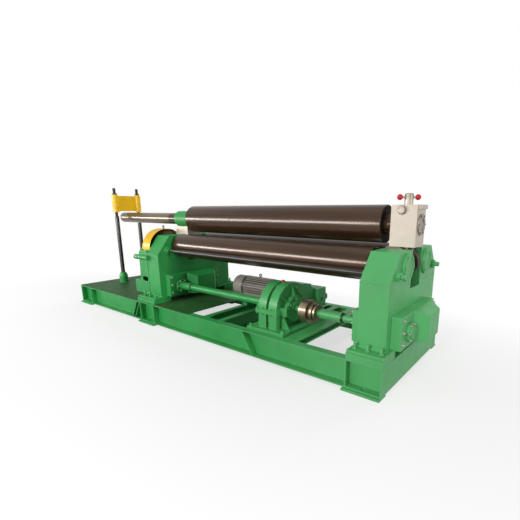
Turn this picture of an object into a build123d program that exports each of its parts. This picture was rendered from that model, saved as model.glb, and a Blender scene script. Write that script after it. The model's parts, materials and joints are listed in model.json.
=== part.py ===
"""Three-roll plate rolling machine with a tipping right-hand bearing, in millimetres.

X runs along the rolls, Y is the feed direction (front is -Y) and Z is up. The origin lies on the floor at
the centre of the four outer anchor holes.
"""
import os
from math import acos, asin, atan2, cos, degrees, pi, radians, sin, sqrt, tan

from build123d import *

os.makedirs("parts", exist_ok=True)

# Base: two channels, end beams, cross members, feet and a deck over the left part
BASE_LENGTH = 5100
BASE_WIDTH = 1430
FOOT_THICKNESS = 20
FOOT_LENGTH = 340
FOOT_WIDTH = 130
FOOT_TOE = 30
ANCHOR_INSET = 40
ANCHOR_HOLE_R = 16.5
BEAM_HEIGHT = 250
BEAM_FLANGE = 88
FLANGE_THICKNESS = 12
WEB_THICKNESS = 8
STIFFENER_THICKNESS = 14
STIFFENER_LEAN = 130
STIFFENER_INSET = 20
CROSS_HEIGHT = 200
CROSS_FLANGE = 75
DECK_THICKNESS = 10
DECK_RIGHT = 170
PAD_HEIGHT = 55
PAD_DEPTH = 255

# Stands: U-slot side frames with sloping shoulders on a flanged foot
LEFT_STAND_X = -645
STAND_SPACING = 3033
STAND_THICKNESS = 250
STAND_HALF_WIDTH = 585
STAND_FOOT = 25
STAND_FOOT_OVERHANG = 35
LEFT_FOOT_OVERHANG = 100
STAND_FOOT_REACH = 115
SHOULDER_DROP = 95
SHOULDER_RUN = 181
STAND_RISE = 132
SLOT_HALF = 115
SLOT_DROP = 203
BOLT_R = 12
BOLT_PITCH = 115
BOLT_HEAD = 15
BOLT_CLEARANCE = 1

# Rolls and their bearings
LOWER_ROLL_D = 300
LOWER_ROLL_Y = 235
LOWER_ROLL_Z = 988
LOWER_JOURNAL_R = 85
BUSH_R = 100
UPPER_ROLL_D = 340
ROLL_RISE = 334
UPPER_JOURNAL_R = 80
BARREL_GAP = 36
BARREL_CHAMFER = 6
TAIL_R = 77.5
TAIL_OVERHANG = 142
COLLAR_R = 105
COLLAR_LENGTH = 315
COLLAR_GAP = 20
RUNNING_FIT = 0.05
SLIDE_FIT = 0.5
END_COVER_R = 115
END_COVER_THICKNESS = 22
TIE_ROD_R = 20
TIE_ROD_Y = 440
TIE_ROD_DROP = 51
TIE_NUT = 36

# Roll drive in the gear case
MODULE = 10
GEAR_TEETH = 36
PINION_TEETH = 22
PRESSURE_ANGLE = radians(20)
BACKLASH = 0.7
GEAR_WIDTH = 120
CASE_DEPTH = 190
CASE_WALL = 20
GUARD_GAP = 12
GUARD_THICKNESS = 4
GUARD_INSET = 50
GUARD_CREST = 50
RIM_DROP = 58
GUARD_FOOT = 14
SADDLE_CLEARANCE = 8
PINION_SHAFT_R = 50

# Lift: screws, worm wheels and worms
LIFT_TRAVEL = 100
CARRIAGE_DROP = 187
CARRIAGE_HEIGHT = 245
CARRIAGE_CHAMFER = 60
SCREW_R = 45
WHEEL_R = 270
WHEEL_THICKNESS = 90
HUB_R = 95
HUB_HEIGHT = 170
SHAFT_Y = -330
SHAFT_Z = 475
SHAFT_R = 35
CROSS_SHAFT_R = 42
WORM_R = 59
WORM_LENGTH = 200
CASE_FLANGE_DEPTH = 92
HOOD_DEPTH = 105
FLANGE_R = 85
FLANGE_PLATE = 25

# Tipping bearing housing on the right carriage
TIP_OFFSET = -28
HOUSING_LEFT = -91
HOUSING_THICKNESS = 225
HOUSING_HALF = 112
HOUSING_RISE = 166
TAPER_ROOT_R = 85
TAPER_SLOPE = 0.27
TAPER_LENGTH = 122
HOUSING_BORE_R = 100
END_BORE_R = 75
END_COVER_LIP = 15
TONGUE_HALF = 44
TONGUE_LENGTH = 100
TIP_PIN_R = 25
LOCK_BOSS_R = 37
LOCK_BOSS_HEIGHT = 95
LOCK_BAR_R = 10
LOCK_BAR_LENGTH = 150
LOCK_BAR_ANGLE = 45
KNOB_R = 25

# Lift drive at the centre of the base
REDUCER_LEFT = 1172
REDUCER_WIDTH = 230
REDUCER_CENTRES = 500
REDUCER_BIG_R = 245
REDUCER_SMALL_R = 110
REDUCER_FOOT = 30
REDUCER_FOOT_SIDE = 118
REDUCER_FOOT_END = 65
SPLIT_FLANGE = 22
BAND_HEIGHT = 14
BAND_GAP = 16
BOSS_STAND = 25
CAP_R = 131
CAP_PLATE = 20
CAP_RING_R = 70
CAP_RING = 13
LEFT_HUB_R = 60
LEFT_HUB = 75
CLUTCH_LEFT = 1555
CLUTCH_FIXED_R = 115
CLUTCH_FIXED_LENGTH = 85
CLUTCH_HUB_R = 60
CLUTCH_HUB = 25
CLUTCH_SLIDING_R = 92
CLUTCH_SLIDING_LENGTH = 22
FORK_GROOVE_R = 72
FORK_GROOVE = 14
FORK_COLLAR_R = 84
FORK_COLLAR = 19
JAW_LENGTH = 25
JAW_COUNT = 3
CLUTCH_STROKE = 30
SLEEVE_R = 49
MOTOR_LENGTH = 640
MOTOR_GAP = 396
MOTOR_R = 125
MOTOR_FEET = 140

# Main drive behind the left stand
MAIN_GAP = 170
MAIN_REDUCER_WIDTH = 330
MAIN_CENTRES = 400
MAIN_BIG_R = 225
MAIN_SMALL_R = 135
MAIN_HEIGHT = 250
MAIN_FOOT_SIDE = 25
MAIN_MOTOR_LENGTH = 590
MAIN_MOTOR_GAP = 150
MAIN_MOTOR_R = 150
MAIN_MOTOR_FEET = 180

# Tail balance at the left end
POST_INSET = 345
POST_Y = 185
POST_R = 30
POST_THREAD_R = 22
POST_THREAD = 420
SOCKET_R = 65
SOCKET_HEIGHT = 165
CROSSHEAD_RISE = 84
CROSSHEAD_HEIGHT = 264
CROSSHEAD_BOSS_R = 48
CROSSHEAD_PLATE = 44
POST_ABOVE = 100

# Places worked out from the sizes above
BEAM_TOP = FOOT_THICKNESS + BEAM_HEIGHT
DECK_TOP = BEAM_TOP + DECK_THICKNESS
PAD_TOP = BEAM_TOP + PAD_HEIGHT
STAND_BASE = PAD_TOP + STAND_FOOT
HALF_LENGTH = BASE_LENGTH / 2
HALF_WIDTH = BASE_WIDTH / 2
SHOULDER_Z = LOWER_ROLL_Z - SHOULDER_DROP
STAND_TOP = LOWER_ROLL_Z + STAND_RISE
STAND_TOP_HALF = STAND_HALF_WIDTH - SHOULDER_RUN
SLOT_BOTTOM = LOWER_ROLL_Z - SLOT_DROP
TIE_ROD_Z = LOWER_ROLL_Z - TIE_ROD_DROP
UPPER_ROLL_Z = LOWER_ROLL_Z + ROLL_RISE
CARRIAGE_TOP = UPPER_ROLL_Z - CARRIAGE_DROP
CARRIAGE_BOTTOM = CARRIAGE_TOP - CARRIAGE_HEIGHT
HOUSING_TOP = UPPER_ROLL_Z + HOUSING_RISE
WEB_OUTSIDE = HALF_WIDTH - BEAM_FLANGE + WEB_THICKNESS
WEB_INSIDE = HALF_WIDTH - BEAM_FLANGE
ANCHOR_X = HALF_LENGTH - FOOT_LENGTH / 2
ANCHOR_Y = HALF_WIDTH - ANCHOR_INSET
RIGHT_STAND_X = LEFT_STAND_X + STAND_SPACING
LEFT_INNER = LEFT_STAND_X + STAND_THICKNESS / 2
LEFT_OUTER = LEFT_STAND_X - STAND_THICKNESS / 2
RIGHT_INNER = RIGHT_STAND_X - STAND_THICKNESS / 2
RIGHT_OUTER = RIGHT_STAND_X + STAND_THICKNESS / 2
CASE_LEFT = LEFT_OUTER - CASE_DEPTH
BARREL_LEFT = LEFT_INNER + BARREL_GAP
BARREL_RIGHT = RIGHT_INNER - BARREL_GAP
COLLAR_RIGHT = BARREL_LEFT - COLLAR_GAP
COLLAR_LEFT = COLLAR_RIGHT - COLLAR_LENGTH
GEAR_R = MODULE * GEAR_TEETH / 2
PINION_R = MODULE * PINION_TEETH / 2
GEAR_RIGHT = LEFT_OUTER - 2 * CASE_WALL
GEAR_LEFT = GEAR_RIGHT - GEAR_WIDTH
PINION_Z = LOWER_ROLL_Z - sqrt((GEAR_R + PINION_R) ** 2 - LOWER_ROLL_Y**2)
WHEEL_Z = SHAFT_Z - WHEEL_THICKNESS / 2
HUB_Z = SHAFT_Z - HUB_HEIGHT / 2
TIP_X = RIGHT_STAND_X + TIP_OFFSET
TIP_R = RIGHT_OUTER - TIP_X
TIP_Z = CARRIAGE_TOP - TIP_R
HOUSING_X = RIGHT_STAND_X + HOUSING_LEFT
HOUSING_OUTER = HOUSING_X + HOUSING_THICKNESS
REDUCER_RIGHT = REDUCER_LEFT + REDUCER_WIDTH
INPUT_Y = SHAFT_Y + REDUCER_CENTRES
MOTOR_RIGHT = REDUCER_LEFT - MOTOR_GAP
MOTOR_LEFT = MOTOR_RIGHT - MOTOR_LENGTH
MAIN_REDUCER_RIGHT = CASE_LEFT - MAIN_GAP
POST_X = -HALF_LENGTH + POST_INSET
TAIL_END = POST_X - TAIL_OVERHANG
CROSSHEAD_Z = UPPER_ROLL_Z + CROSSHEAD_RISE
CROSSHEAD_TOP = CROSSHEAD_Z + CROSSHEAD_HEIGHT
POST_TOP = CROSSHEAD_TOP + POST_ABOVE
POST_THREAD_Z = POST_TOP - POST_THREAD


def x_plane(x):
    """Plane square to the rolls: sketch axes are Y and Z, extrusion goes to +X."""
    return Plane.YZ.offset(x)


def y_plane(y):
    """Plane square to the feed: sketch axes are X and Z, extrusion goes to -Y."""
    return Plane.XZ.offset(-y)


def z_plane(z):
    """Level plane: sketch axes are X and Y, extrusion goes to +Z."""
    return Plane.XY.offset(z)


def turned_on_x(outline, y, z):
    """Solid turned about an X axis at (y, z), from (x, radius) points given from left to right."""
    with BuildPart() as body:
        with BuildSketch(Plane(origin=(0, y, z), x_dir=(1, 0, 0), z_dir=(0, -1, 0))):
            with BuildLine():
                Polyline((outline[0][0], 0), *outline, (outline[-1][0], 0), close=True)
            make_face()
        revolve(axis=Axis((0, y, z), (1, 0, 0)))
    return body


def turned_on_z(outline, places):
    """Like solids turned about Z axes at the (x, y) places, from (radius, z) points given upwards."""
    with BuildPart() as body:
        for x, y in places:
            with BuildSketch(Plane(origin=(x, y, 0), x_dir=(1, 0, 0), z_dir=(0, -1, 0))):
                with BuildLine():
                    Polyline((0, outline[0][1]), *outline, (0, outline[-1][1]), close=True)
                make_face()
            revolve(axis=Axis((x, y, 0), (0, 0, 1)))
    return body


def front_and_rear(y):
    """The two Y places that mirror each other about the roll plane."""
    return (-y, y)


# Longitudinal beams: channels with their open side outwards, stiffened by upright plates over the feet and by
# leaning plates beside the left stand and the reducer
MIDDLE_FOOT_X = LEFT_STAND_X - STAND_FOOT_OVERHANG
FOOT_CENTRES = (-ANCHOR_X, MIDDLE_FOOT_X, ANCHOR_X)
STIFFENER_STEP = FOOT_LENGTH / 2 - STIFFENER_INSET
STRAIGHT_STIFFENERS = (
    -HALF_LENGTH + STIFFENER_THICKNESS / 2,
    -ANCHOR_X + STIFFENER_STEP,
    MIDDLE_FOOT_X - STIFFENER_STEP,
    MIDDLE_FOOT_X + STIFFENER_STEP,
    ANCHOR_X - STIFFENER_STEP,
    HALF_LENGTH - STIFFENER_THICKNESS / 2,
)
LEANING_STIFFENERS = (
    (MIDDLE_FOOT_X - FOOT_LENGTH / 2 - STIFFENER_LEAN / 2, -1),
    (MIDDLE_FOOT_X - FOOT_LENGTH / 2, -1),
    (REDUCER_LEFT - STIFFENER_LEAN, 1),
)


with BuildPart() as base_beams:
    web_z0 = FOOT_THICKNESS + FLANGE_THICKNESS
    web_z1 = BEAM_TOP - FLANGE_THICKNESS
    for side in (-1, 1):
        edge = side * HALF_WIDTH
        web = side * WEB_OUTSIDE
        with BuildSketch(x_plane(-HALF_LENGTH)):
            with BuildLine():
                Polyline(
                    (edge, FOOT_THICKNESS),
                    (edge, web_z0),
                    (web, web_z0),
                    (web, web_z1),
                    (edge, web_z1),
                    (edge, BEAM_TOP),
                    (side * WEB_INSIDE, BEAM_TOP),
                    (side * WEB_INSIDE, FOOT_THICKNESS),
                    close=True,
                )
            make_face()
        extrude(amount=BASE_LENGTH)
        for x in STRAIGHT_STIFFENERS:
            with BuildSketch(y_plane(edge)):
                with Locations((x, (web_z0 + web_z1) / 2)):
                    Rectangle(STIFFENER_THICKNESS, web_z1 - web_z0)
            extrude(amount=side * (HALF_WIDTH - WEB_OUTSIDE))
        for x, lean in LEANING_STIFFENERS:
            foot = lean * STIFFENER_LEAN
            with BuildSketch(y_plane(edge)):
                with BuildLine():
                    Polyline(
                        (x, web_z1),
                        (x + STIFFENER_THICKNESS, web_z1),
                        (x + STIFFENER_THICKNESS + foot, web_z0),
                        (x + foot, web_z0),
                        close=True,
                    )
                make_face()
            extrude(amount=side * (HALF_WIDTH - WEB_OUTSIDE))
        with BuildSketch(z_plane(0)):
            with Locations(*[(x, side * ANCHOR_Y) for x in FOOT_CENTRES]):
                Circle(ANCHOR_HOLE_R)
        extrude(amount=web_z0, mode=Mode.SUBTRACT)
base_beams.part.label = "base_beams"
export_step(base_beams.part, "parts/base_beams.step")

# Cross members: an end channel at each end of the base, and channels on edge under the posts, main drive,
# left stand, motor stool and reducer, with a pair of them under the clutch
MOTOR_CROSSES = (MOTOR_LEFT + 0.4 * MOTOR_LENGTH, MOTOR_LEFT + 0.78 * MOTOR_LENGTH)
CROSS_PAIR = CROSS_FLANGE / 2 + 2
CLUTCH_CROSS = CLUTCH_LEFT + CLUTCH_FIXED_LENGTH * 0.65
CROSS_PLACES = (
    POST_X,
    MAIN_REDUCER_RIGHT - MAIN_REDUCER_WIDTH / 2,
    LEFT_STAND_X,
    MOTOR_CROSSES[0],
    MOTOR_CROSSES[1],
    REDUCER_LEFT + CROSS_FLANGE / 2,
    REDUCER_RIGHT - CROSS_FLANGE / 2,
    CLUTCH_CROSS - CROSS_PAIR,
    CLUTCH_CROSS + CROSS_PAIR,
)
with BuildPart() as cross_members:
    for x in CROSS_PLACES:
        left = x - CROSS_FLANGE / 2
        right = x + CROSS_FLANGE / 2
        bottom = BEAM_TOP - CROSS_HEIGHT
        with BuildSketch(y_plane(0)):
            with BuildLine():
                Polyline(
                    (left, bottom),
                    (left, BEAM_TOP),
                    (right, BEAM_TOP),
                    (right, BEAM_TOP - FLANGE_THICKNESS),
                    (left + WEB_THICKNESS, BEAM_TOP - FLANGE_THICKNESS),
                    (left + WEB_THICKNESS, bottom + FLANGE_THICKNESS),
                    (right, bottom + FLANGE_THICKNESS),
                    (right, bottom),
                    close=True,
                )
            make_face()
        extrude(amount=WEB_INSIDE, both=True)
    for side in (-1, 1):
        with BuildSketch(y_plane(0)):
            with BuildLine():
                Polyline(
                    (side * HALF_LENGTH, FOOT_THICKNESS),
                    (side * HALF_LENGTH, BEAM_TOP),
                    (side * (HALF_LENGTH - CROSS_FLANGE), BEAM_TOP),
                    (side * (HALF_LENGTH - CROSS_FLANGE), BEAM_TOP - FLANGE_THICKNESS),
                    (side * (HALF_LENGTH - FLANGE_THICKNESS), BEAM_TOP - FLANGE_THICKNESS),
                    (side * (HALF_LENGTH - FLANGE_THICKNESS), FOOT_THICKNESS + FLANGE_THICKNESS),
                    (side * (HALF_LENGTH - CROSS_FLANGE), FOOT_THICKNESS + FLANGE_THICKNESS),
                    (side * (HALF_LENGTH - CROSS_FLANGE), FOOT_THICKNESS),
                    close=True,
                )
            make_face()
        extrude(amount=WEB_INSIDE, both=True)
cross_members.part.label = "cross_members"
export_step(cross_members.part, "parts/cross_members.step")

# Deck plate over the left part of the base
with BuildPart() as deck_plate:
    with BuildSketch(z_plane(BEAM_TOP)):
        with Locations(((DECK_RIGHT - HALF_LENGTH) / 2, 0)):
            Rectangle(DECK_RIGHT + HALF_LENGTH, BASE_WIDTH)
    extrude(amount=DECK_THICKNESS)
deck_plate.part.label = "deck_plate"
export_step(deck_plate.part, "parts/deck_plate.step")

# Feet: thick plates under the beams with one anchor hole each
with BuildPart() as base_feet:
    for y in front_and_rear(HALF_WIDTH + FOOT_TOE - FOOT_WIDTH / 2):
        hole_y = ANCHOR_Y if y > 0 else -ANCHOR_Y
        with BuildSketch(z_plane(0)):
            with Locations(*[(x, y) for x in FOOT_CENTRES]):
                Rectangle(FOOT_LENGTH, FOOT_WIDTH)
            with Locations(*[(x, hole_y) for x in FOOT_CENTRES]):
                Circle(ANCHOR_HOLE_R, mode=Mode.SUBTRACT)
        extrude(amount=FOOT_THICKNESS)
base_feet.part.label = "base_feet"
export_step(base_feet.part, "parts/base_feet.step")

# Pads: machined blocks that carry the stand feet, on the deck at the left and on the beams at the right
LEFT_FOOT_SPAN = (LEFT_OUTER - LEFT_FOOT_OVERHANG, LEFT_INNER + STAND_FOOT_OVERHANG)
RIGHT_FOOT_SPAN = (RIGHT_INNER - STAND_FOOT_OVERHANG, RIGHT_OUTER + STAND_FOOT_OVERHANG)
BOLT_Y = STAND_HALF_WIDTH + STAND_FOOT_REACH / 2
BOLT_SHANK = STAND_FOOT + PAD_HEIGHT - DECK_THICKNESS - 5
STAND_PLACES = ((LEFT_FOOT_SPAN, DECK_TOP), (RIGHT_FOOT_SPAN, BEAM_TOP))


def bolt_places(span):
    """Bolt centres on one stand foot, in a row at the front and a row at the rear."""
    middle = (span[0] + span[1]) / 2
    return [(middle + step * BOLT_PITCH, y) for step in (-1, 0, 1) for y in front_and_rear(BOLT_Y)]


with BuildPart() as stand_pads:
    for span, bottom in STAND_PLACES:
        for y in front_and_rear(HALF_WIDTH - PAD_DEPTH / 2):
            with BuildSketch(z_plane(bottom)):
                with Locations(((span[0] + span[1]) / 2, y)):
                    Rectangle(span[1] - span[0], PAD_DEPTH)
            extrude(amount=PAD_TOP - bottom)
        with BuildSketch(z_plane(PAD_TOP)):
            with Locations(*bolt_places(span)):
                Circle(BOLT_R + BOLT_CLEARANCE)
        extrude(amount=STAND_FOOT - BOLT_SHANK - BOLT_CLEARANCE, mode=Mode.SUBTRACT)
stand_pads.part.label = "stand_pads"
export_step(stand_pads.part, "parts/stand_pads.step")

# Stand bolts: hexagon heads on the stand feet, shanks down into the pads
with BuildPart() as stand_bolts:
    for span, bottom in STAND_PLACES:
        with BuildSketch(z_plane(STAND_BASE)):
            with Locations(*bolt_places(span)):
                RegularPolygon(1.5 * BOLT_R, 6, major_radius=False)
        extrude(amount=BOLT_HEAD)
        with BuildSketch(z_plane(STAND_BASE)):
            with Locations(*bolt_places(span)):
                Circle(BOLT_R)
        extrude(amount=-BOLT_SHANK)
stand_bolts.part.label = "stand_bolts"
export_step(stand_bolts.part, "parts/stand_bolts.step")


# Stands: thick side frames with a slot for the upper bearing, roll bores and a window for the worm wheel
WINDOW_MARGIN = 20
WINDOW_ROOF = 10
WORM_CLEARANCE = 7
SCREW_CLEARANCE = 3
WINDOW_HALF = WHEEL_R + WINDOW_MARGIN
WINDOW_TOP = SHAFT_Z + HUB_HEIGHT / 2 + WINDOW_ROOF
WORM_HOLE_R = WORM_R + WORM_CLEARANCE
SCREW_HOLE_R = SCREW_R + SCREW_CLEARANCE
BOSS_R = 45
BOSS_LENGTH = 20


def stand_outline():
    """Side outline of a stand above its foot flange, in Y and Z."""
    Polyline(
        (-STAND_HALF_WIDTH, STAND_BASE),
        (-STAND_HALF_WIDTH, SHOULDER_Z),
        (-STAND_TOP_HALF, STAND_TOP),
        (STAND_TOP_HALF, STAND_TOP),
        (STAND_HALF_WIDTH, SHOULDER_Z),
        (STAND_HALF_WIDTH, STAND_BASE),
        close=True,
    )


def stand(x, foot_span, boss_side):
    """One stand centred at x; boss_side is the X direction in which the tie-rod bosses face."""
    left = x - STAND_THICKNESS / 2
    with BuildPart() as frame:
        with BuildSketch(x_plane(left)):
            with BuildLine():
                stand_outline()
            make_face()
        extrude(amount=STAND_THICKNESS)
        with BuildSketch(z_plane(PAD_TOP)):
            with Locations(((foot_span[0] + foot_span[1]) / 2, 0)):
                Rectangle(foot_span[1] - foot_span[0], 2 * (STAND_HALF_WIDTH + STAND_FOOT_REACH))
        extrude(amount=STAND_FOOT)
        with BuildSketch(x_plane(x + boss_side * STAND_THICKNESS / 2)):
            with Locations((-TIE_ROD_Y, TIE_ROD_Z), (TIE_ROD_Y, TIE_ROD_Z)):
                Circle(BOSS_R)
        extrude(amount=boss_side * BOSS_LENGTH)
        with BuildSketch(x_plane(left - BOSS_LENGTH)):
            with Locations((0, (SLOT_BOTTOM + STAND_TOP) / 2)):
                Rectangle(2 * SLOT_HALF, STAND_TOP - SLOT_BOTTOM)
            with Locations((-LOWER_ROLL_Y, LOWER_ROLL_Z), (LOWER_ROLL_Y, LOWER_ROLL_Z)):
                Circle(BUSH_R + RUNNING_FIT)
            with Locations((-TIE_ROD_Y, TIE_ROD_Z), (TIE_ROD_Y, TIE_ROD_Z)):
                Circle(TIE_ROD_R + 1)
            with Locations((0, (HUB_Z + WINDOW_TOP) / 2)):
                Rectangle(2 * WINDOW_HALF, WINDOW_TOP - HUB_Z)
            with Locations((SHAFT_Y, SHAFT_Z)):
                Circle(WORM_HOLE_R)
        extrude(amount=STAND_THICKNESS + 2 * BOSS_LENGTH, mode=Mode.SUBTRACT)
        with BuildSketch(z_plane(PAD_TOP)):
            with Locations((x, 0)):
                Circle(SCREW_HOLE_R)
        extrude(amount=SLOT_BOTTOM - PAD_TOP, mode=Mode.SUBTRACT)
        with BuildSketch(z_plane(PAD_TOP)):
            with Locations(*bolt_places(foot_span)):
                Circle(BOLT_R + BOLT_CLEARANCE)
        extrude(amount=STAND_FOOT, mode=Mode.SUBTRACT)
    return frame


left_stand = stand(LEFT_STAND_X, LEFT_FOOT_SPAN, 1)
left_stand.part.label = "left_stand"
export_step(left_stand.part, "parts/left_stand.step")

right_stand = stand(RIGHT_STAND_X, RIGHT_FOOT_SPAN, -1)
right_stand.part.label = "right_stand"
export_step(right_stand.part, "parts/right_stand.step")

# Lifting bar: round bar welded along the front of the left stand, standing out past its left edge
LIFTING_BAR_R = 32
LIFTING_BAR_DROP = 53
LIFTING_BAR_Z = SHOULDER_Z - LIFTING_BAR_DROP
LIFTING_BAR_PROUD = 60
with BuildPart() as lifting_bar:
    bar_y = -STAND_HALF_WIDTH - LIFTING_BAR_R / 2
    with BuildSketch(x_plane(CASE_LEFT - LIFTING_BAR_PROUD)):
        with Locations((bar_y, LIFTING_BAR_Z)):
            Circle(LIFTING_BAR_R)
        with Locations((-STAND_HALF_WIDTH + LIFTING_BAR_R / 2, LIFTING_BAR_Z)):
            Rectangle(LIFTING_BAR_R, 2 * LIFTING_BAR_R, mode=Mode.SUBTRACT)
    extrude(amount=LIFTING_BAR_PROUD + CASE_DEPTH + STAND_THICKNESS * 0.8)
    fillet(lifting_bar.faces().sort_by(Axis.X)[0].edges(), LIFTING_BAR_R * 0.3)
lifting_bar.part.label = "lifting_bar"
export_step(lifting_bar.part, "parts/lifting_bar.step")

# Gear case: open-topped box on the left stand's outer side, with a rim that carries the guard, a left wall as
# high as the stand, a bridge between the hoods clear of the lowered collar, and a hand hole in its front wall
GEAR_TIP_R = GEAR_R + MODULE
GUARD_R = GEAR_TIP_R + GUARD_GAP + GUARD_THICKNESS
GUARD_TOP = LOWER_ROLL_Z + GUARD_R
GUARD_FRONT_Y = STAND_HALF_WIDTH - GUARD_INSET
GUARD_BACK_Y = LOWER_ROLL_Y - sqrt(GUARD_R**2 - STAND_RISE**2)
RIM_Z = LOWER_ROLL_Z - RIM_DROP
PINION_HOLE_MARGIN = 25
PINION_HOLE_R = PINION_SHAFT_R + PINION_HOLE_MARGIN
HAND_HOLE_HEIGHT = 203
HAND_HOLE_OFFSET = 10
HAND_HOLE_LENGTH = 130
HAND_HOLE_WIDTH = 62
HAND_HOLE_X = CASE_LEFT + CASE_DEPTH / 2 + HAND_HOLE_OFFSET
HAND_HOLE_Z = STAND_BASE + HAND_HOLE_HEIGHT
SHAFT_CLEARANCE = 10
with BuildPart() as gear_case:
    rim_height = RIM_Z - STAND_BASE
    with BuildSketch(x_plane(CASE_LEFT)):
        with BuildLine():
            stand_outline()
        make_face()
    extrude(amount=CASE_WALL)
    with BuildSketch(x_plane(CASE_LEFT + CASE_WALL)):
        with Locations((0, (STAND_BASE + RIM_Z) / 2)):
            Rectangle(2 * STAND_HALF_WIDTH, rim_height)
            Rectangle(2 * (STAND_HALF_WIDTH - CASE_WALL), rim_height - 2 * CASE_WALL, mode=Mode.SUBTRACT)
        with Locations((0, RIM_Z - CASE_WALL / 2)):
            Rectangle(2 * (GUARD_FRONT_Y - GUARD_THICKNESS), CASE_WALL, mode=Mode.SUBTRACT)
        with Locations((0, STAND_TOP - CASE_WALL / 2)):
            Rectangle(2 * GUARD_BACK_Y, CASE_WALL)
    extrude(amount=CASE_DEPTH - CASE_WALL)
    with BuildSketch(x_plane(COLLAR_LEFT - SADDLE_CLEARANCE)):
        with Locations((0, UPPER_ROLL_Z - LIFT_TRAVEL)):
            Circle(COLLAR_R + SADDLE_CLEARANCE)
    extrude(amount=COLLAR_LENGTH, mode=Mode.SUBTRACT)
    with BuildSketch(x_plane(CASE_LEFT)):
        with Locations((0, PINION_Z)):
            Circle(PINION_HOLE_R)
        with Locations((SHAFT_Y, SHAFT_Z)):
            Circle(SHAFT_R + SHAFT_CLEARANCE)
    extrude(amount=CASE_WALL, mode=Mode.SUBTRACT)
    with BuildSketch(y_plane(-STAND_HALF_WIDTH)):
        with Locations((HAND_HOLE_X, HAND_HOLE_Z)):
            SlotOverall(HAND_HOLE_LENGTH, HAND_HOLE_WIDTH)
    extrude(amount=-CASE_WALL, mode=Mode.SUBTRACT)
gear_case.part.label = "gear_case"
export_step(gear_case.part, "parts/gear_case.step")


# Gear guard: two sheet hoods that stand on the case rim over the roll gears, each with a left end plate
GUARD_BACK_ANGLE = asin(STAND_RISE / GUARD_R)
GUARD_MID_ANGLE = (GUARD_BACK_ANGLE + pi / 2) / 2


def guard_points(side, inset):
    """Foot, spring, crest, end of the flat, back bend and back end of a hood, drawn in by the inset."""
    radius = GUARD_R - inset
    front = side * (GUARD_FRONT_Y - inset)

    def on_back(angle):
        """Point of the back curve at an angle above the roll axis."""
        return (side * (LOWER_ROLL_Y - radius * cos(angle)), LOWER_ROLL_Z + radius * sin(angle))

    crest = (side * (LOWER_ROLL_Y + GUARD_CREST), GUARD_TOP - inset)
    back = [on_back(angle) for angle in (pi / 2, GUARD_MID_ANGLE, GUARD_BACK_ANGLE)]
    return (front, RIM_Z), (front, RIM_Z + GUARD_FOOT), crest, *back


def guard_line(side, points):
    """Upright foot, big front bend, flat crest and back curve through the points of a hood."""
    foot, spring, crest, over, bend, end = points
    Line(foot, spring)
    TangentArc(crest, spring, tangent=(side, 0))
    Line(crest, over)
    ThreePointArc(over, bend, end)


with BuildPart() as gear_guard:
    for side in (-1, 1):
        outside = guard_points(side, 0)
        inside = guard_points(side, GUARD_THICKNESS)
        with BuildSketch(x_plane(CASE_LEFT + CASE_WALL)):
            with BuildLine():
                guard_line(side, outside)
                Polyline(outside[-1], (outside[-1][0], RIM_Z), outside[0])
            make_face()
        extrude(amount=GUARD_THICKNESS)
        with BuildSketch(x_plane(CASE_LEFT + CASE_WALL)):
            with BuildLine():
                guard_line(side, outside)
                guard_line(side, inside)
                Line(outside[0], inside[0])
                Line(outside[-1], inside[-1])
            make_face()
        extrude(amount=CASE_DEPTH - CASE_WALL - 1)
gear_guard.part.label = "gear_guard"
export_step(gear_guard.part, "parts/gear_guard.step")

# Tie rods between the stands, with nuts in the gear case and on the right stand's outer face
TIE_NUT_LENGTH = 32
with BuildPart() as tie_rods:
    with BuildSketch(x_plane(LEFT_OUTER - TIE_NUT_LENGTH)):
        with Locations((-TIE_ROD_Y, TIE_ROD_Z), (TIE_ROD_Y, TIE_ROD_Z)):
            Circle(TIE_ROD_R)
    extrude(amount=RIGHT_OUTER - LEFT_OUTER + 2 * TIE_NUT_LENGTH + 2 * TIE_ROD_R)
tie_rods.part.label = "tie_rods"
export_step(tie_rods.part, "parts/tie_rods.step")

with BuildPart() as tie_rod_nuts:
    for nut_x in (LEFT_OUTER - TIE_NUT_LENGTH, RIGHT_OUTER):
        with BuildSketch(x_plane(nut_x)):
            with Locations((-TIE_ROD_Y, TIE_ROD_Z), (TIE_ROD_Y, TIE_ROD_Z)):
                RegularPolygon(TIE_NUT, 6, major_radius=False)
                Circle(TIE_ROD_R + RUNNING_FIT, mode=Mode.SUBTRACT)
        extrude(amount=TIE_NUT_LENGTH)
tie_rod_nuts.part.label = "tie_rod_nuts"
export_step(tie_rod_nuts.part, "parts/tie_rod_nuts.step")

# Lower roll bushes in both stands, and the round covers over the right-hand bores
with BuildPart() as lower_bushes:
    for bush_x in (LEFT_OUTER, RIGHT_INNER):
        with BuildSketch(x_plane(bush_x)):
            with Locations((-LOWER_ROLL_Y, LOWER_ROLL_Z), (LOWER_ROLL_Y, LOWER_ROLL_Z)):
                Circle(BUSH_R)
                Circle(LOWER_JOURNAL_R + RUNNING_FIT, mode=Mode.SUBTRACT)
        extrude(amount=STAND_THICKNESS)
lower_bushes.part.label = "lower_bushes"
export_step(lower_bushes.part, "parts/lower_bushes.step")

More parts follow.
